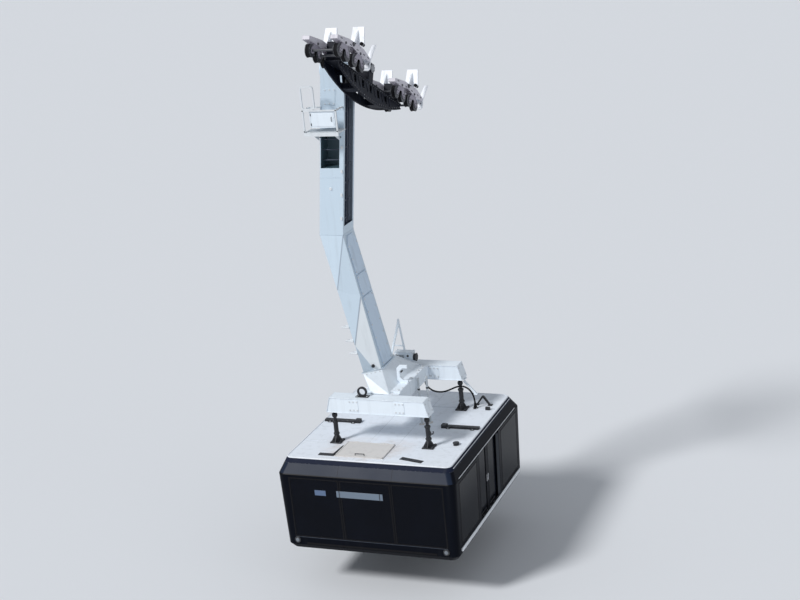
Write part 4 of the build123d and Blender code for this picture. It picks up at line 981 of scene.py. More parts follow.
class TRAMWAY_OT_arm(bpy.types.Operator):
    """The arm's folded box, its cover panels, foot block, bolts and welds"""

    bl_idname = "tramway.arm"
    bl_label = "Arm"

    def execute(self, context):
        sizes = fittings(context)
        shell, panels, block, bolts, welds, dark, steps = (Shape() for _ in range(7))
        self.folded_box(shell)
        self.cover_panels(panels, bolts, sizes.bolt_size * 0.8)
        rings = self.foot_block(block)
        # Weld round the block's top
        weld_line = [point + Vector((0.01 if inner else -0.01, face * 0.01, 0))
                     for point, (inner, face) in zip(rings[0], ARM_RING)]
        welds.tube(weld_line, sizes.weld_size * 1.6, sides=8, closed=True)
        for face in (-1, 1):
            self.arm_face(face, rings, bolts, dark, steps, sizes.bolt_size)
        for corner in ((-0.39, -0.89), (0.39, -0.86), (-0.39, 0.89), (0.39, 0.86), (0.39, 0.0), (0.39, 0.55)):
            bolts.bolt(on_cabin(*corner, FOOT_TOP_Z), Z_AXIS, 0.05)
        piece = shell.done("arm_shell", "hanger", HANGER, "hanger_paint", edge=0.006)
        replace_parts(piece, "hanger_arm")
        panels.done("arm_cover_panels", "panel", HANGER, "hanger_paint", edge=0.003)
        block.done("arm_foot_block", "white", HANGER, "white_paint", edge=0.004)
        bolts.done("arm_bolts", "zinc", HANGER, "galvanized")
        dark.done("arm_ports", "black", HANGER, "black_paint", edge=0.002)
        steps.done("arm_step_irons", "zinc", HANGER, "galvanized", smooth=True)
        welds.done("arm_foot_weld", "hanger", HANGER, "hanger_paint", smooth=True)
        return {"FINISHED"}

    def folded_box(self, shell):
        """The arm's closed box, whose front and back are folded along two lines."""
        edges = {}
        for face in (-1, 1):
            outer = [shell.mesh.verts.new(arm_corner(False, face, share)) for share in OUTER_FOLDS]
            inner = [shell.mesh.verts.new(arm_corner(True, face, share)) for share in INNER_FOLDS]
            edges[face] = (outer, inner)
            for corners in ((outer[0], inner[0], outer[1]), (inner[0], inner[1], outer[1]),
                            (outer[1], inner[1], outer[2]), (inner[1], inner[2], outer[2]),
                            (outer[2], inner[2], outer[3])):
                shell.mesh.faces.new(corners)
        # Outer and inner sides, then both ends
        for row in (0, 1):
            near, far = edges[-1][row], edges[1][row]
            for index in range(len(near) - 1):
                shell.mesh.faces.new((near[index], near[index + 1], far[index + 1], far[index]))
        for index in (0, -1):
            corners = ((-1, 0), (-1, 1), (1, 1), (1, 0))
            shell.mesh.faces.new([edges[face][row][index] for face, row in corners])

    def cover_panels(self, panels, bolts, bolt_size):
        """Panels between the joints of the inner side, the uppermost with a tapered head."""
        starts = [0.07] + [joint + 0.018 for joint in ARM_JOINTS]
        ends = [joint - 0.018 for joint in ARM_JOINTS] + [ARM_FOOT_RUN - 0.04]
        half = 0.285
        for index, (start, end) in enumerate(zip(starts, ends)):
            outline = [(-half, -end), (half, -end), (half, -start), (-half, -start)]
            if index == 0:
                shoulder = -start - 0.20
                outline = [(-half, -end), (half, -end), (half, shoulder), (0.15, -start), (-0.15, -start),
                           (-half, shoulder)]
            panels.plate(outline, 0.022, ARM_KNEE, Y_AXIS, -ARM_RUN)
            rows = max(2, round((end - start) / 0.30))
            for side in (-1, 1):
                first = start + (0.26 if index == 0 else 0.06)
                line = [on_arm(side * 0.255, run, 0.022) for run in (first, end - 0.05)]
                bolts.bolts(*line, rows, ARM_OUT, bolt_size)

    def foot_block(self, block):
        """The block that spreads from the arm to both crossbeams. Returns its upper and lower corners."""
        top = ARM_FOOT_RUN / ARM_LENGTH
        rings = [[arm_corner(inner, face, top) + Vector((0.012 if inner else -0.012, face * 0.012, 0))
                  for inner, face in ARM_RING]]
        rings.append([on_cabin(0.235 if inner else -0.265, face * 1.095, BEAM_TOP_Z + 0.012)
                      for inner, face in ARM_RING])
        low, high = ([block.mesh.verts.new(point) for point in ring] for ring in rings)
        for index in range(4):
            after = (index + 1) % 4
            # The front and back split along one diagonal each, the same way about the middle
            if index == 2:
                block.mesh.faces.new((low[index], low[after], high[index]))
                block.mesh.faces.new((low[after], high[after], high[index]))
            else:
                block.mesh.faces.new((low[index], low[after], high[after]))
                block.mesh.faces.new((low[index], high[after], high[index]))
        block.mesh.faces.new(low)
        block.mesh.faces.new(high[::-1])
        return rings

    def arm_face(self, face, rings, bolts, dark, steps, bolt_size):
        """Bolts of the foot block, a port above it and step irons, on the arm's front or back."""
        row = 0 if face < 0 else 2
        start, end = rings[0][row], rings[0][row + 1]
        normal = (rings[1][row] - start).cross(end - start).normalized()
        normal *= 1 if normal.y * face > 0 else -1
        down = ((rings[1][row] + rings[1][row + 1]) / 2 - (start + end) / 2).normalized() * 0.07
        line = [start.lerp(end, share) + down for share in (0.15, 0.85)]
        bolts.bolts(*line, 4, normal, bolt_size)
        port_share = ARM_FOOT_RUN / ARM_LENGTH - 0.028
        port = arm_corner(False, face, port_share).lerp(arm_corner(True, face, port_share), 0.62)
        port_normal = Vector((0.80, face, 0.10)).normalized()
        dark.rod(port - port_normal * 0.02, port + port_normal * 0.016, 0.045, 0.040, sides=28)
        for share in (0.60, 0.69, 0.77):
            root = arm_corner(False, face, share)
            reach = Vector((-0.19, -0.02 * face, 0))
            along = Vector((0.05, -0.09 * face, 0))
            steps.tube([root, root + reach, root + reach + along, root + along], 0.024, sides=12)


class TRAMWAY_OT_platform(bpy.types.Operator):
    """Grating, cabinet door and railing joints of the service platform"""

    bl_idname = "tramway.platform"
    bl_label = "Platform fittings"

    def execute(self, context):
        grating, door, hardware = Shape(), Shape(), Shape()
        for step in range(22):
            x = -1.42 + 0.039 * step
            line = [on_hanger(x, y, DECK_DROP - 0.010) for y in (-0.37, -0.76)]
            grating.bar(*line, 0.008, 0.020)
        for y in (-0.38, -0.50, -0.62, -0.74):
            line = [on_hanger(x, y, DECK_DROP - 0.008) for x in (-1.43, -0.56)]
            grating.bar(*line, 0.012, 0.018)
        # The cabinet's door, with its hinges and handle
        front = CABINET_FRONT_Y
        door.box(on_hanger(-0.935, front - 0.004, 1.071), (0.60, 0.008, 0.34))
        for x in (-1.255, -0.615):
            line = [on_hanger(x, front - 0.002, drop) for drop in (0.88, 1.262)]
            door.bar(*line, 0.02, 0.006, Y_AXIS)
        for drop in (0.95, 1.19):
            hinge = [on_hanger(-1.238, front - 0.014, drop + along) for along in (-0.03, 0.03)]
            hardware.rod(*hinge, 0.010, sides=12)
        handle = [on_hanger(-0.69, front - y, drop)
                  for y, drop in ((0.008, 1.01), (0.026, 1.02), (0.026, 1.11), (0.008, 1.12))]
        hardware.tube(handle, 0.007, sides=8)
        # Bolts of the railing's posts and of the brackets under the deck
        for x in (-1.432, -0.558):
            for y in (-0.52, -0.68):
                hardware.bolt(on_hanger(x, y, 0.83), Z_AXIS, 0.02)
            hardware.bolt(on_hanger(x, -0.79, 0.848), -Y_AXIS, 0.02)
            hardware.bolt(on_hanger(x, -0.79, 1.36), -Y_AXIS, 0.02)
        for x in (-1.27, -0.72):
            for drop in (1.45, 1.60):
                hardware.bolt(on_hanger(x + 0.03, -0.34, drop), -Y_AXIS, 0.022)
        grating.done("platform_grating", "zinc", HANGER, "galvanized")
        door.done("cabinet_door", "white", HANGER, "white_paint", edge=0.002)
        hardware.done("platform_hardware", "steel", HANGER, "bare_steel", smooth=True)
        return {"FINISHED"}


# Crossbeams and struts
class TRAMWAY_OT_crossbeams(bpy.types.Operator):
    """Flanges, end plates and joint plates on the crossbeams, their bolts and a slanting bracket"""

    bl_idname = "tramway.crossbeams"
    bl_label = "Crossbeam fittings"

    def execute(self, context):
        sizes = fittings(context)
        plates, bolts, bracket = Shape(), Shape(), Shape()
        for side in (-1, 1):
            y = side * CROSSBEAM_Y
            for half, height in ((1.37, BEAM_LOW_Z + 0.008), (1.26, BEAM_TOP_Z - 0.008)):
                for edge in (-1, 1):
                    line = y + edge * 0.186
                    plates.bar(on_cabin(-half, line, height), on_cabin(half, line, height), 0.014, 0.016)
            for end in (-1, 1):
                low, high = on_cabin(end * 1.372, y, BEAM_LOW_Z), on_cabin(end * 1.262, y, BEAM_TOP_Z)
                outward = Vector((0.40, 0, 0.11)).normalized()
                outward.x *= end
                plates.bar(low + outward * 0.006, high + outward * 0.006, 0.39, 0.014, outward)
                for up in (0.2, 0.8):
                    spot = low.lerp(high, up) + outward * 0.013
                    bolts.bolts(spot - Y_AXIS * 0.13, spot + Y_AXIS * 0.13, 2, outward, 0.03)
            for x in (-0.62, 0.62):
                for face in (-1, 1):
                    spot = on_cabin(x, y + face * 0.183, 3.47)
                    plates.box(spot, (0.26, 0.010, 0.30))
                    for up in (-0.11, 0.11):
                        line = [spot + Vector((along, face * 0.005, up)) for along in (-0.10, 0.10)]
                        bolts.bolts(*line, 3, Y_AXIS * face, sizes.bolt_size * 0.8)
            # Bolts where the frame between the crossbeams meets them
            for x in (-0.38, 0.38):
                for z in (3.37, 3.63):
                    spot = on_cabin(x, y - side * 0.176, z)
                    for across in (-0.115, 0.115):
                        bolts.bolt(spot + X_AXIS * across, -Y_AXIS * side, sizes.bolt_size)
        # Slanting bracket at the far beam's right end, with its foot plate
        bracket.bar(on_cabin(1.36, CROSSBEAM_Y, 3.20), on_cabin(1.66, CROSSBEAM_Y, 2.86), 0.05, 0.05, Y_AXIS)
        bracket.box(on_cabin(1.345, CROSSBEAM_Y, 3.262), (0.16, 0.16, 0.016))
        bracket.box(on_cabin(1.665, CROSSBEAM_Y, 2.845), (0.09, 0.09, 0.03))
        # Bolts along both edges of the plate under the arm's foot
        for x in (-0.4347, 0.4347):
            for y in (-0.70, -0.35, 0.0, 0.35, 0.70):
                bolts.bolt(on_cabin(x, y, FOOT_TOP_Z), Z_AXIS, sizes.bolt_size)
        plates.done("crossbeam_plates", "white", HANGER, "white_paint", edge=0.002)
        bolts.done("crossbeam_bolts", "zinc", HANGER, "galvanized")
        bracket.done("far_beam_bracket", "white", HANGER, "white_paint", edge=0.003)
        return {"FINISHED"}


class TRAMWAY_OT_struts(bpy.types.Operator):
    """Foot bolts, collars and ball joints of the four struts, and a rope hook on one"""

    bl_idname = "tramway.struts"
    bl_label = "Strut fittings"

    def execute(self, context):
        bolts, collars, balls, hooks = Shape(), Shape(), Shape(), Shape()
        ball = [(-0.072 * along, max(0.012 + 0.060 * out, 0.02)) for along, out in round_steps(24)[:13]]
        ball += [(0.06, 0.02), (-0.06, 0.02)]
        collar = [(0.0, 0.045), (0.0, 0.070), (0.012, 0.078), (0.040, 0.078), (0.052, 0.070), (0.052, 0.045)]
        for x in (-STRUT_X, STRUT_X):
            for y in (-CROSSBEAM_Y, CROSSBEAM_Y):
                for across in (-0.118, 0.118):
                    for along in (-0.118, 0.118):
                        bolts.bolt(on_cabin(x + across, y + along, ROOF_HEIGHT + 0.028), Z_AXIS, 0.034)
                collars.spin(collar, on_cabin(x, y, 2.925), Z_AXIS, sides=32)
                collars.spin(collar, on_cabin(x, y, 2.60), Z_AXIS, sides=32)
                balls.spin(ball, on_cabin(x, y, 3.13), Z_AXIS, sides=32)
                collars.rod(on_cabin(x, y, 3.238), on_cabin(x, y, 3.268), 0.105, sides=32)
                for across, along in round_steps(6, 0.5):
                    bolts.bolt(on_cabin(x + 0.085 * across, y + 0.085 * along, 3.238), -Z_AXIS, 0.022)
        # Small rope hook on the uphill right strut's outer side
        foot = on_cabin(STRUT_X + 0.055, -CROSSBEAM_Y, 2.76)
        hook = [foot + Vector((x, 0, z)) for x, z in ((0, 0), (0.065, 0), (0.085, 0.025), (0.085, 0.075))]
        hooks.tube(hook, 0.014, sides=12)
        hooks.box(on_cabin(STRUT_X + 0.062, -CROSSBEAM_Y, 2.76), (0.02, 0.07, 0.10))
        bolts.done("strut_bolts", "steel", HANGER, "bare_steel")
        collars.done("strut_collars", "black", HANGER, "black_paint", smooth=True)
        balls.done("strut_ball_joints", "black", HANGER, "black_paint", smooth=True)
        hooks.done("strut_rope_hooks", "black", HANGER, "black_paint", smooth=True)
        return {"FINISHED"}


class TRAMWAY_OT_beam_tops(bpy.types.Operator):
    """Details of the winch, the signal frame, the bollard, the lifting eye's foot and the hook plate"""

    bl_idname = "tramway.beam_tops"
    bl_label = "Winch and signal frame fittings"

    def execute(self, context):
        winch, dark, frame_parts, bolts = Shape(), Shape(), Shape(), Shape()
        # Winch: lid, louvres and covers on its uphill side, and the drum's end
        winch.box(on_cabin(-0.20, WINCH_Y, 3.986), (0.52, 0.22, 0.016))
        for step in range(6):
            dark.box(on_cabin(-0.30, 1.097, 3.75 + 0.032 * step), (0.20, 0.010, 0.012))
        winch.box(on_cabin(-0.08, 1.096, 3.83), (0.16, 0.010, 0.22))
        for x in (-0.40, -0.08):
            dark.rod(on_cabin(x, 1.092, 3.90), on_cabin(x, 1.076, 3.90), 0.030, sides=20)
        for start, end, radius in ((0.05, 0.11, 0.09), (0.11, 0.125, 0.11)):
            dark.rod(*(on_cabin(x, WINCH_Y, 3.84) for x in (start, end)), radius, sides=28)
        for x in (-0.43, 0.03):
            for y in (1.115, 1.285):
                bolts.bolt(on_cabin(x, y, 3.994), Z_AXIS, 0.022)
        # Signal frame: cross tie, lamp under its peak and feet
        frame_parts.bar(*(on_cabin(x, SIGNAL_Y, 4.09) for x in (-0.585, -0.265)), 0.03, 0.03)
        frame_parts.rod(*(on_cabin(-0.36, SIGNAL_Y, z) for z in (4.776, 4.83)), 0.034, 0.028, sides=24)
        for x in (-0.70, -0.22):
            frame_parts.box(on_cabin(x, SIGNAL_Y, BEAM_TOP_Z + 0.008), (0.13, 0.11, 0.016))
            for across in (-0.045, 0.045):
                bolts.bolt(on_cabin(x + across, SIGNAL_Y, BEAM_TOP_Z + 0.016), Z_AXIS, 0.02)
        # Bollard: white cap over a dark neck
        bollard = on_cabin(-0.83, CROSSBEAM_Y, BEAM_TOP_Z)
        dark.rod(bollard + Z_AXIS * 0.26, bollard + Z_AXIS * 0.30, 0.050, sides=28)
        frame_parts.rod(bollard + Z_AXIS * 0.33, bollard + Z_AXIS * 0.365, 0.060, 0.045, sides=28)
        frame_parts.box(bollard + Z_AXIS * 0.010, (0.20, 0.20, 0.02))
        # Foot of the lifting eye
        dark.box(on_cabin(-0.42, -CROSSBEAM_Y, BEAM_TOP_Z + 0.009), (0.34, 0.15, 0.018))
        for x in (-0.555, -0.285):
            for y in (-1.325, -1.235):
                bolts.bolt(on_cabin(x, y, BEAM_TOP_Z + 0.018), Z_AXIS, 0.024)
        # Pin through the hook plate
        dark.rod(on_cabin(0.30, -0.37, 4.02), on_cabin(0.30, -0.28, 4.02), 0.022, sides=20)
        winch.done("winch_covers", "white", HANGER, "white_paint", edge=0.002)
        dark.done("beam_top_fittings", "black", HANGER, "black_paint", edge=0.002)
        frame_parts.done("signal_frame_fittings", "white", HANGER, "white_paint", edge=0.002)
        bolts.done("beam_top_bolts", "zinc", HANGER, "galvanized")
        return {"FINISHED"}


# Cabin
class TRAMWAY_OT_roof(bpy.types.Operator):
    """Edge rail, panel strips, dark strips as painted shadows, rivets, and fittings of the hatch, bars, posts
    and trestle
    """

    bl_idname = "tramway.roof"
    bl_label = "Roof fittings"

    def execute(self, context):
        edge, strips, marks, rivets, dark, hatch = (Shape() for _ in range(6))
        self.roof_surface(edge, strips, marks, rivets)
        self.roof_fixtures(hatch, dark, rivets)
        edge.done("roof_edge_rails", "trim", HANGER, "aluminium_trim", edge=0.0015, smooth=True)
        strips.done("roof_panel_strips", "roof", HANGER, "roof_paint", edge=0.002)
        # Painted shadows: dark strips on the roof
        marks.done("roof_shadow_strips", "black", HANGER, "black_paint", edge=0.001)
        rivets.done("roof_rivets", "zinc", HANGER, "galvanized")
        dark.done("roof_fittings", "black", HANGER, "black_paint", edge=0.003)
        hatch.done("roof_hatch_fittings", "hatch", HANGER, "roof_paint", edge=0.002)
        return {"FINISHED"}

    def roof_surface(self, edge, strips, marks, rivets):
        """Rails round the edge, rivets of the panels, strips across them and dark strips as painted shadows.
        """
        half_x, half_y, corner = 2.185, 2.405, 0.155
        outline = []
        for sign_x, sign_y, turn in ((1, 1, 0.0), (-1, 1, 0.5), (-1, -1, 1.0), (1, -1, 1.5)):
            for step in range(5):
                angle = math.pi * (turn + step / 8)
                x = sign_x * (half_x - corner) + corner * math.cos(angle)
                y = sign_y * (half_y - corner) + corner * math.sin(angle)
                outline.append(on_cabin(x, y, ROOF_HEIGHT + 0.004))
        edge.tube(outline, 0.012, sides=8, closed=True)
        for side in (-1, 1):
            # Two thin rails along the side's sloping band
            for height, out in ((2.075, 2.3462), (2.335, 2.2307)):
                line = [on_cabin(side * out, y, height) for y in (-2.30, 2.30)]
                edge.bar(*line, 0.014, 0.008, Vector((side * 0.914, 0, 0.406)))
        # Rivets of the roof's panels
        for x in (-0.40, 0.40):
            for step in range(16):
                y = -2.20 + 0.293 * step
                # None under the hatch
                if x < 0.2 and -2.2 < y < -1.3:
                    continue
                spot = on_cabin(x - 0.03, y, ROOF_HEIGHT)
                rivets.rod(spot, spot + Z_AXIS * 0.006, 0.012, 0.006, 8)
        for step in range(14):
            x = -2.05 + 0.315 * step
            for y in (-2.33, 2.33):
                spot = on_cabin(x, y, ROOF_HEIGHT)
                rivets.rod(spot, spot + Z_AXIS * 0.006, 0.014, 0.007, 8)
        # Dark strips on the roof where shadows fall: painted shadows
        for start, end in (((-1.41, -2.11), (-0.98, -2.11)), ((-0.98, -2.11), (-0.93, -1.53)),
                           ((0.78, -2.05), (1.40, -2.20))):
            marks.bar(on_cabin(*start, ROOF_HEIGHT + 0.004), on_cabin(*end, ROOF_HEIGHT + 0.004), 0.15, 0.008)
        for y in (-1.30, 1.34):
            strips.bar(*(on_cabin(x, y, ROOF_HEIGHT + 0.004) for x in (-2.12, 2.12)), 0.05, 0.008)

    def roof_fixtures(self, hatch, dark, rivets):
        """Fittings of the hatch, bars, trestle, vent, cable posts and gland."""
        # Hatch: rim, hinges and a handle
        top = ROOF_HEIGHT + 0.024
        corners = [on_cabin(HATCH_X + x * 0.63, HATCH_Y + y * 0.42, top) for x, y in SQUARE]
        hatch.frame(corners, 0.03, 0.008, Z_AXIS)
        for x in (-0.70, 0.10):
            hatch.rod(*(on_cabin(x + along, -1.305, top) for along in (-0.06, 0.06)), 0.016, sides=14)
        handle = [on_cabin(x, -2.10, top + z)
                  for x, z in ((-0.42, 0.0), (-0.42, 0.045), (-0.18, 0.045), (-0.18, 0.0))]
        dark.tube(handle, 0.011, sides=10)
        # Feet and bolts of the roof bars, whose inner ends carry a block
        for side in (-1, 1):
            dark.box(on_cabin(side * 1.20, 0, ROOF_HEIGHT + 0.045), (0.14, 0.15, 0.09))
            for x in (1.32, 1.98):
                dark.box(on_cabin(side * x, 0, ROOF_HEIGHT + 0.008), (0.10, 0.22, 0.016))
                for y in (-0.085, 0.085):
                    rivets.bolt(on_cabin(side * x, y, ROOF_HEIGHT + 0.016), Z_AXIS, 0.022)
        # Feet of the trestle, the small cleat beside it, and a round vent near the right edge
        for x in (1.545, 1.915):
            dark.box(on_cabin(x, 1.62, ROOF_HEIGHT + 0.008), (0.12, 0.12, 0.016))
        dark.box(on_cabin(1.95, 1.30, ROOF_HEIGHT + 0.04), (0.12, 0.07, 0.08))
        vent = on_cabin(1.88, -1.05, ROOF_HEIGHT)
        dark.rod(vent, vent + Z_AXIS * 0.05, 0.075, 0.060, 28)
        dark.rod(vent + Z_AXIS * 0.05, vent + Z_AXIS * 0.07, 0.085, 0.080, 28)
        # Cable posts: foot flanges and clips
        for x, y in ((0.54, 0.12), (0.72, 0.26)):
            hatch.rod(on_cabin(x, y, ROOF_HEIGHT), on_cabin(x, y, ROOF_HEIGHT + 0.02), 0.075, 0.070, 24)
            for z in (2.9, 3.35):
                dark.rod(on_cabin(x, y, z), on_cabin(x, y, z + 0.04), 0.036, sides=20)
        # Gland nut where the cable goes through the roof
        gland = on_cabin(1.585, 1.370, ROOF_HEIGHT)
        dark.rod(gland, gland + Z_AXIS * 0.016, 0.075, 0.070, 24)
        for x, y in round_steps(4, 0.5):
            rivets.bolt(gland + Vector((x, y, 0)) * 0.058 + Z_AXIS * 0.016, Z_AXIS, 0.014)


class TRAMWAY_OT_cable_sleeves(bpy.types.Operator):
    """Tapered sleeves where the cable leaves the crossbeam and enters its gland"""

    bl_idname = "tramway.cable_sleeves"
    bl_label = "Cable sleeves"

    def execute(self, context):
        sleeves = Shape()
        start, end = on_cabin(*CABLE_ROUTE[0]), on_cabin(*CABLE_ROUTE[-1])
        upper = [(-0.002, 0.021), (-0.002, 0.050), (-0.016, 0.050), (-0.018, 0.038), (-0.095, 0.0245),
                 (-0.095, 0.021)]
        sleeves.spin(upper, start, Z_AXIS, sides=28)
        lower = [(0.0, 0.021), (0.0, 0.040), (0.022, 0.036), (0.105, 0.0245), (0.105, 0.021)]
        sleeves.spin(lower, end, Z_AXIS, sides=28)
        for index in range(5):
            up, thin = 0.015 * index, 0.0022 * index
            ring = [(0.028, 0.022 + thin), (0.032, 0.0355), (0.028, 0.0385), (0.024, 0.0355)]
            sleeves.spin([(up + along, radius - thin) for along, radius in ring], end, Z_AXIS, sides=24)
        sleeves.done("cable_sleeves", "rubber", HANGER, "black_rubber", smooth=True)
        return {"FINISHED"}


class TRAMWAY_OT_windows(bpy.types.Operator):
    """Gaskets round the fixed windows, doorway trim and jambs, sill trim, and the ends' seams and display"""

    bl_idname = "tramway.windows"
    bl_label = "Window fittings"

    def execute(self, context):
        width = fittings(context).gasket_width
        gaskets, trims, seams, display, clips, jambs = (Shape() for _ in range(6))
        pane = ((-1, PANE_LOW), (1, PANE_LOW), (1, PANE_HIGH), (-1, PANE_HIGH))
        for side in (-1, 1):
            side_normal = Vector((side, 0, -WALL_LEAN))
            for middle in END_PANES:
                corners = [on_cabin(middle + x * END_PANE_HALF, side * end_y(z), z) for x, z in pane]
                gaskets.frame(corners, width, 0.005, Y_AXIS * side)
            for middle in SIDE_PANES:
                corners = [on_cabin(side * side_x(z), middle + y * SIDE_PANE_HALF, z) for y, z in pane]
                gaskets.frame(corners, width, 0.0010, side_normal)
            for y in (-DOORWAY_TRIM_Y, DOORWAY_TRIM_Y):
                line = [on_cabin(side * side_x(z), y, z) for z in (0.20, 1.97)]
                gaskets.bar(*line, 0.02, 0.0035, side_normal)
            # Sloping lining of the doorway's jambs, clear of the leaf behind the wall, in a grey lighter than
            # the body: a painted reflection matching the sheen of the sides
            for end in (-1, 1):
                line = [on_cabin(side * (side_x(z) - 0.028), end * DOORWAY_JAMB_Y, z) for z in (0.20, 1.985)]
                jambs.bar(*line, 0.094, 0.006, Vector((side, -end * 0.6, 0)).normalized())
            # Rubber lip and bright cover strip of the sill
            line = [on_cabin(side * (side_x(0.19) + 0.006), y, 0.182) for y in (-2.42, 2.42)]
            gaskets.bar(*line, 0.012, 0.016, X_AXIS * side)
            line = [on_cabin(side * 2.331, y, 0.225) for y in (-2.42, 2.42)]
            trims.bar(*line, 0.10, 0.006, X_AXIS * side)
            for y in (-2.40, -1.6, -0.9, 0.9, 1.6, 2.40):
                rivet = on_cabin(side * 2.3335, y, 0.225)
                trims.rod(rivet, rivet + X_AXIS * side * 0.004, 0.012, 0.008, 10)
            # Lower skirt seam and bumper strip across the end
            line = [on_cabin(x, side * (end_y(0.335) + 0.001), 0.335) for x in (-2.05, 2.05)]
            seams.bar(*line, 0.008, 0.006, Y_AXIS * side)
            line = [on_cabin(x, side * (end_y(0.17) + 0.004), 0.165) for x in (-1.75, 1.75)]
            gaskets.bar(*line, 0.05, 0.012, Y_AXIS * side)
        front = -(end_y(SCREEN_Z) + 0.003)
        display.box(on_cabin(-0.16, front, SCREEN_Z), (1.24, 0.006, 0.17))
        for x in (-0.70, 0.38):
            clips.box(on_cabin(x, front - 0.003, SCREEN_Z), (0.02, 0.008, 0.20))
        gaskets.done("window_gaskets", "rubber", HANGER, "black_rubber", edge=0.0008)
        trims.done("body_trims", "trim", HANGER, "aluminium_trim", edge=0.0008)
        seams.done("skirt_seams", "conduit", HANGER, "dark_paint", edge=0.0008)
        # The floor mat's grey on the jambs is a painted reflection
        jambs.done("doorway_jambs", "mat", HANGER, "black_rubber", edge=0.0008)
        display.done("end_display", "display", HANGER, "lamp_plastic", edge=0.001)
        clips.done("display_clips", "black", HANGER, "black_paint", edge=0.001)
        return {"FINISHED"}


class TRAMWAY_OT_lamps(bpy.types.Operator):
    """Dark bezels and lenses of the four lamps at the ends' corners"""

    bl_idname = "tramway.lamps"
    bl_label = "Lamp fittings"

    def execute(self, context):
        bezels, lenses = Shape(), Shape()
        bezel = [(-0.012, 0.066), (-0.012, 0.088), (0.018, 0.084), (0.030, 0.072), (0.030, 0.064),
                 (0.022, 0.060), (0.020, 0.050), (0.0, 0.050)]
        lens = [(0.018, 0.004), (0.034, 0.004), (0.036, 0.020), (0.033, 0.040), (0.026, 0.052),
                (0.018, 0.052)]
        for side in (-1, 1):
            for x in (-2.0, 2.0):
                centre = on_cabin(x, side * (end_y(0.25) + 0.003), 0.25)
                bezels.spin(bezel, centre, Y_AXIS * side, sides=40)
                lenses.spin(lens, centre, Y_AXIS * side, sides=40)
        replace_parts(bezels.done("lamp_bezels", "black", HANGER, "black_paint", smooth=True), "end_lamps")
        lenses.done("lamp_lenses", "lamp", HANGER, "lamp_plastic", smooth=True)
        return {"FINISHED"}


class TRAMWAY_OT_doors(bpy.types.Operator):
    """Rubber seals, cup handles and rivets on the sliding door leaves"""

    bl_idname = "tramway.doors"
    bl_label = "Door fittings"

    def execute(self, context):
        for side, side_name in ((-1, "left"), (1, "right")):
            for end, end_name in ((-1, "uphill"), (1, "downhill")):
                seals, metal = Shape(), Shape()
                out = Vector((side, 0, -WALL_LEAN)).normalized()
                seal = [on_leaf(side, end, 0.0032, z, -0.02) for z in (0.17, 2.03)]
                seals.bar(*seal, 0.0022, 0.034, out)
                corners = [on_leaf(side, end, y, z)
                           for y, z in ((0.093, 0.24), (0.75, 0.24), (0.75, 2.03), (0.093, 2.03))]
                seals.frame(corners, 0.022, 0.0015, out)
                cup = [on_leaf(side, end, 0.048 + 0.018 * along, 1.08 + 0.09 * up, 0.002)
                       for along, up in round_steps(24)]
                metal.tube(cup, 0.004, sides=8, closed=True)
                for z in (0.20, 2.06):
                    for y in (0.12, 0.42, 0.72):
                        spot = on_leaf(side, end, y, z)
                        metal.rod(spot, spot + out * 0.004, 0.012, 0.008, 10)
                body = f"door_{side_name}_{end_name}"
                seals.done(f"{body}_seals", "rubber", body, "black_rubber")
                metal.done(f"{body}_handle", "trim", body, "aluminium_trim", smooth=True)
        return {"FINISHED"}


class TRAMWAY_OT_interior(bpy.types.Operator):
    """Floor mat, ceiling lamps, handrails and desk panel, and the small screen on the end window"""

    bl_idname = "tramway.interior"
    bl_label = "Interior fittings"

    def execute(self, context):
        mat, lights, rails, desk, screen = (Shape() for _ in range(5))
        mat.box(on_cabin(0, 0, 0.123), (4.2, 4.3, 0.006))
        for step in range(28):
            mat.bar(*(on_cabin(x, -2.025 + 0.15 * step, 0.128) for x in (-2.0, 2.0)), 0.03, 0.006)
        for x in (-1.25, 1.25):
            lights.box(on_cabin(x, 0, 2.325), (0.22, 3.9, 0.026))
        for side in (-1, 1):
            # The side rails stay clear of the open door leaves
            for end in (-1, 1):
                rails.tube([on_cabin(side * 2.13, end * y, RAIL_Z) for y in (1.66, 2.30)], 0.019)
                for y in (1.72, 2.25):
                    rails.rod(*(on_cabin(side * x, end * y, RAIL_Z) for x in (2.13, 2.262)), 0.012, sides=10)
            for start, end in ((-2.0, -0.55), (0.55, 2.0)):
                rails.tube([on_cabin(x, side * 2.46, RAIL_Z) for x in (start, end)], 0.019)
            for x in (-1.9, -1.3, -0.7, 0.7, 1.3, 1.9):
                rails.rod(*(on_cabin(x, side * y, RAIL_Z) for y in (2.46, 2.606)), 0.012, sides=10)
            rails.tube([on_cabin(side * 0.9, y, 2.0) for y in (-1.5, 1.5)], 0.016)
        # Desk panel, with its display and six buttons
        desk.box(on_cabin(0, -2.37, 1.235), (0.66, 0.34, 0.03), X_AXIS, Vector((0, -0.2, 1)))
        desk.box(on_cabin(-0.12, -2.40, 1.30), (0.30, 0.02, 0.12))
        for index in range(6):
            spot = on_cabin(0.05 + 0.05 * (index % 3), -2.33 + 0.06 * (index // 3), 1.25)
            desk.rod(spot, spot + Z_AXIS * 0.02, 0.014, sides=12)
        screen.box(on_cabin(-1.22, -(end_y(SCREEN_Z) + 0.002), SCREEN_Z), (0.30, 0.004, 0.14))
        mat.done("floor_mat", "mat", HANGER, "black_rubber", edge=0.002)
        lights.done("ceiling_lamps", "ceiling", HANGER, "lamp_plastic", edge=0.004)
        rails.done("inner_handrails", "trim", HANGER, "aluminium_trim", smooth=True)
        desk.done("desk_panel", "desk", HANGER, "desk_plastic", edge=0.002)
        screen.done("end_notice_panel", "screen", HANGER, "lamp_plastic", edge=0.001)
        return {"FINISHED"}


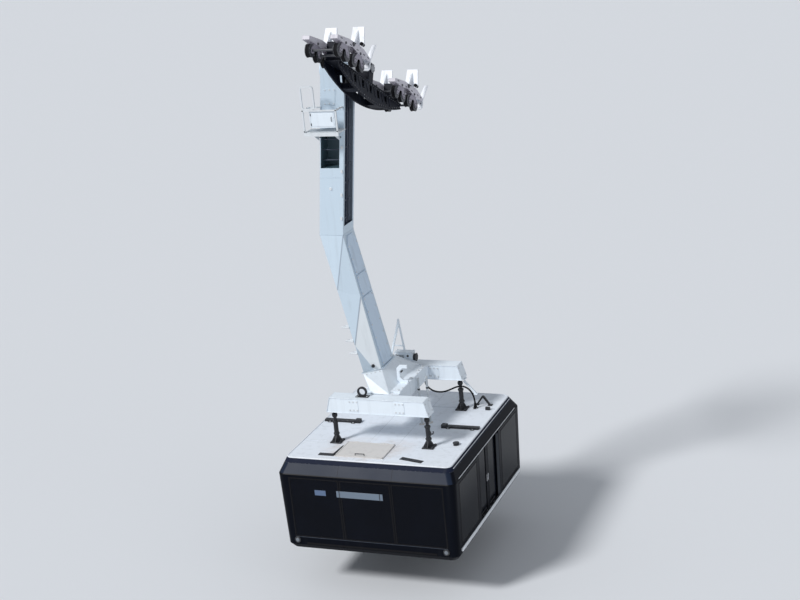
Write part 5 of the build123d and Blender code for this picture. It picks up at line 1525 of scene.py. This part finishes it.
# Cable: x across, y from under the pivot and z above the cabin's underside
CABLE_RADIUS = 0.022
CABLE_ROUTE = [
    (0.300, 1.190, 3.270),
    (0.300, 1.190, 3.130),
    (0.375, 1.178, 3.005),
    (0.510, 1.162, 2.922),
    (0.680, 1.150, 2.895),
    (0.850, 1.143, 2.920),
    (1.010, 1.141, 2.985),
    (1.160, 1.146, 3.060),
    (1.315, 1.163, 3.095),
    (1.450, 1.200, 3.045),
    (1.540, 1.255, 2.925),
    (1.580, 1.315, 2.770),
    (1.585, 1.370, 2.600),
    (1.585, 1.370, 2.460),
]


class TRAMWAY_OT_roof_cable(bpy.types.Operator):
    """Cable from the far crossbeam down to its gland on the roof"""

    bl_idname = "tramway.roof_cable"
    bl_label = "Roof cable"

    def execute(self, context):
        data = bpy.data.curves.new("power_cable", "CURVE")
        data.dimensions = "3D"
        data.bevel_depth = CABLE_RADIUS
        data.bevel_resolution = 4
        data.resolution_u = 8
        spline = data.splines.new("NURBS")
        spline.points.add(len(CABLE_ROUTE) - 1)
        for point, place in zip(spline.points, CABLE_ROUTE):
            point.co = (*on_cabin(*place), 1.0)
        spline.order_u = 3
        spline.use_endpoint_u = True
        cable = bpy.data.objects.new("power_cable", data)
        context.scene.collection.objects.link(cable)
        data.materials.append(PAINTS["rubber"].material)
        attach(cable, "hanger_and_cabin")
        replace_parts(cable, "roof_cable")
        tuple(on_cabin(*CABLE_ROUTE[0]))
        return {"FINISHED"}


# Stage
PHOTO_WIDTH, PHOTO_FOCAL = 800, 590.09     # in pixels
ZOOM, SENSOR_WIDTH = 2.65, 36
CAMERA_PLACE = (14.845, -34.743, 17.606)   # from under the pivot, above the cabin's underside
CAMERA_AXES = (
    (0.93669308, 0.33883905, -0.08828463),     # right
    (0.00786037, 0.23172113, 0.9727505),       # up
    (-0.35006327, 0.91186261, -0.21438818),    # ahead
    (-0.36825949, 0.88043416, -0.29869822),    # towards the car
)
# Name, direction that it shines from, strength and width in degrees
LAMPS = (("key", (-0.42, -0.60, 0.68), 2.3, 12), ("fill", (0.75, -0.35, 0.35), 0.20, 40))
SKY_COLOUR, SKY_STRENGTH = (0.88, 0.93, 1.0, 1.0), 0.36
BACKDROP_COLOUR = (0.66, 0.69, 0.75, 1.0)
GROUND_COLOUR, GROUND_DROP, GROUND_REACH = (0.78, 0.80, 0.83), 1.2, 400


class TRAMWAY_OT_studio(bpy.types.Operator):
    """Camera at the photograph's viewing angle, soft lamps, pale floor and backdrop"""

    bl_idname = "tramway.studio"
    bl_label = "Studio"

    def execute(self, context):
        context.scene.view_settings.view_transform = "Standard"
        self.add_camera(context.scene)
        self.add_lamps(context.scene)
        self.add_sky(context.scene)
        self.add_ground(context.scene)
        return {"FINISHED"}

    def add_camera(self, scene):
        """The photograph's camera, turned towards the car and zoomed in."""
        right, up, ahead, aim = (Vector(axis) for axis in CAMERA_AXES)
        turn = ahead.rotation_difference(aim)
        axes = Matrix((turn @ right, turn @ up, -(turn @ ahead))).transposed()
        lens = bpy.data.cameras.new("camera")
        lens.sensor_width = SENSOR_WIDTH
        lens.lens = PHOTO_FOCAL * ZOOM / PHOTO_WIDTH * SENSOR_WIDTH
        lens.clip_end = 2000
        camera = bpy.data.objects.new("camera", lens)
        camera.matrix_world = Matrix.Translation(on_cabin(*CAMERA_PLACE)) @ axes.to_4x4()
        scene.collection.objects.link(camera)
        scene.camera = camera

    def add_lamps(self, scene):
        """The lamps of the list, each as parallel light."""
        for name, aim_from, strength, spread in LAMPS:
            lamp = bpy.data.lights.new(name, "SUN")
            lamp.energy = strength
            lamp.angle = math.radians(spread)
            light = bpy.data.objects.new(name, lamp)
            light.rotation_euler = Vector(aim_from).to_track_quat("Z", "Y").to_euler()
            scene.collection.objects.link(light)

    def add_sky(self, scene):
        """Light from the sky, and a backdrop in front of it that gives none."""
        world = bpy.data.worlds.new("studio")
        world.use_nodes = True
        nodes, links = world.node_tree.nodes, world.node_tree.links
        sky, backdrop = nodes["Background"], nodes.new("ShaderNodeBackground")
        sky.inputs["Color"].default_value = SKY_COLOUR
        sky.inputs["Strength"].default_value = SKY_STRENGTH
        backdrop.inputs["Color"].default_value = BACKDROP_COLOUR
        # The camera, mirrors and glass see the backdrop, and all else the sky
        path, choice = nodes.new("ShaderNodeLightPath"), nodes.new("ShaderNodeMixShader")
        seen, through = nodes.new("ShaderNodeMath"), nodes.new("ShaderNodeMath")
        links.new(path.outputs["Is Camera Ray"], seen.inputs[0])
        links.new(path.outputs["Is Glossy Ray"], seen.inputs[1])
        links.new(seen.outputs[0], through.inputs[0])
        links.new(path.outputs["Is Transmission Ray"], through.inputs[1])
        through.use_clamp = True
        links.new(through.outputs[0], choice.inputs[0])
        links.new(sky.outputs[0], choice.inputs[1])
        links.new(backdrop.outputs[0], choice.inputs[2])
        links.new(choice.outputs[0], nodes["World Output"].inputs["Surface"])
        scene.world = world

    def add_ground(self, scene):
        """A wide floor below the cabin."""
        mesh = bpy.data.meshes.new("floor")
        corners = [(x * GROUND_REACH, y * GROUND_REACH, FLOOR_Z - GROUND_DROP) for x, y in SQUARE]
        mesh.from_pydata(corners, [], [(0, 1, 2, 3)])
        floor = bpy.data.objects.new("floor", mesh)
        scene.collection.objects.link(floor)
        cover = Paint("floor_pale", roughness=0.9, specular_ior_level=0.1)
        cover.set("Base Color", GROUND_COLOUR)
        floor.data.materials.append(cover.material)


class TRAMWAY_OT_finishes(bpy.types.Operator):
    """Gives every CAD node its finish"""

    bl_idname = "tramway.finishes"
    bl_label = "Finishes"

    def execute(self, context):
        PAINTS.update(make_paints(context.scene.tramway_finish))
        for node, slot in node_slots().items():
            data = frame["nodes"][node].data
            data.materials.clear()
            data.materials.append(PAINTS[NODE_PAINTS.get(node, SLOT_PAINTS[slot])].material)
        return {"FINISHED"}


OPERATORS = (
    TRAMWAY_OT_finishes, TRAMWAY_OT_roof_cable, TRAMWAY_OT_cable_sleeves, TRAMWAY_OT_wheels,
    TRAMWAY_OT_trucks, TRAMWAY_OT_main_beam, TRAMWAY_OT_mast, TRAMWAY_OT_arm, TRAMWAY_OT_platform,
    TRAMWAY_OT_crossbeams, TRAMWAY_OT_struts, TRAMWAY_OT_beam_tops, TRAMWAY_OT_roof, TRAMWAY_OT_windows,
    TRAMWAY_OT_lamps, TRAMWAY_OT_doors, TRAMWAY_OT_interior, TRAMWAY_OT_studio,
)


class VIEW3D_PT_tramway(bpy.types.Panel):
    """The car's settings and operators in the sidebar"""

    bl_label = "Tramway car"
    bl_space_type = "VIEW_3D"
    bl_region_type = "UI"
    bl_category = "Tramway car"

    def draw(self, context):
        for settings in (context.scene.tramway_finish, context.scene.tramway_fittings):
            for name in settings.__annotations__:
                self.layout.prop(settings, name)
        for operator in OPERATORS:
            self.layout.operator(operator.bl_idname)


CLASSES = (TramwayFinish, TramwayFittings, *OPERATORS, VIEW3D_PT_tramway)


def register():
    for item in CLASSES:
        bpy.utils.register_class(item)
    bpy.types.Scene.tramway_finish = bpy.props.PointerProperty(type=TramwayFinish)
    bpy.types.Scene.tramway_fittings = bpy.props.PointerProperty(type=TramwayFittings)


def unregister():
    del bpy.types.Scene.tramway_fittings
    del bpy.types.Scene.tramway_finish
    for item in reversed(CLASSES):
        bpy.utils.unregister_class(item)


def main():
    register()
    bpy.ops.tramway.finishes()
    bpy.ops.tramway.roof_cable()
    bpy.ops.tramway.cable_sleeves()
    bpy.ops.tramway.wheels()
    bpy.ops.tramway.trucks()
    bpy.ops.tramway.main_beam()
    bpy.ops.tramway.mast()
    bpy.ops.tramway.arm()
    bpy.ops.tramway.platform()
    bpy.ops.tramway.crossbeams()
    bpy.ops.tramway.struts()
    bpy.ops.tramway.beam_tops()
    bpy.ops.tramway.roof()
    bpy.ops.tramway.windows()
    bpy.ops.tramway.lamps()
    bpy.ops.tramway.doors()
    bpy.ops.tramway.interior()
    bpy.ops.tramway.studio()


if __name__ == "__main__":
    main()
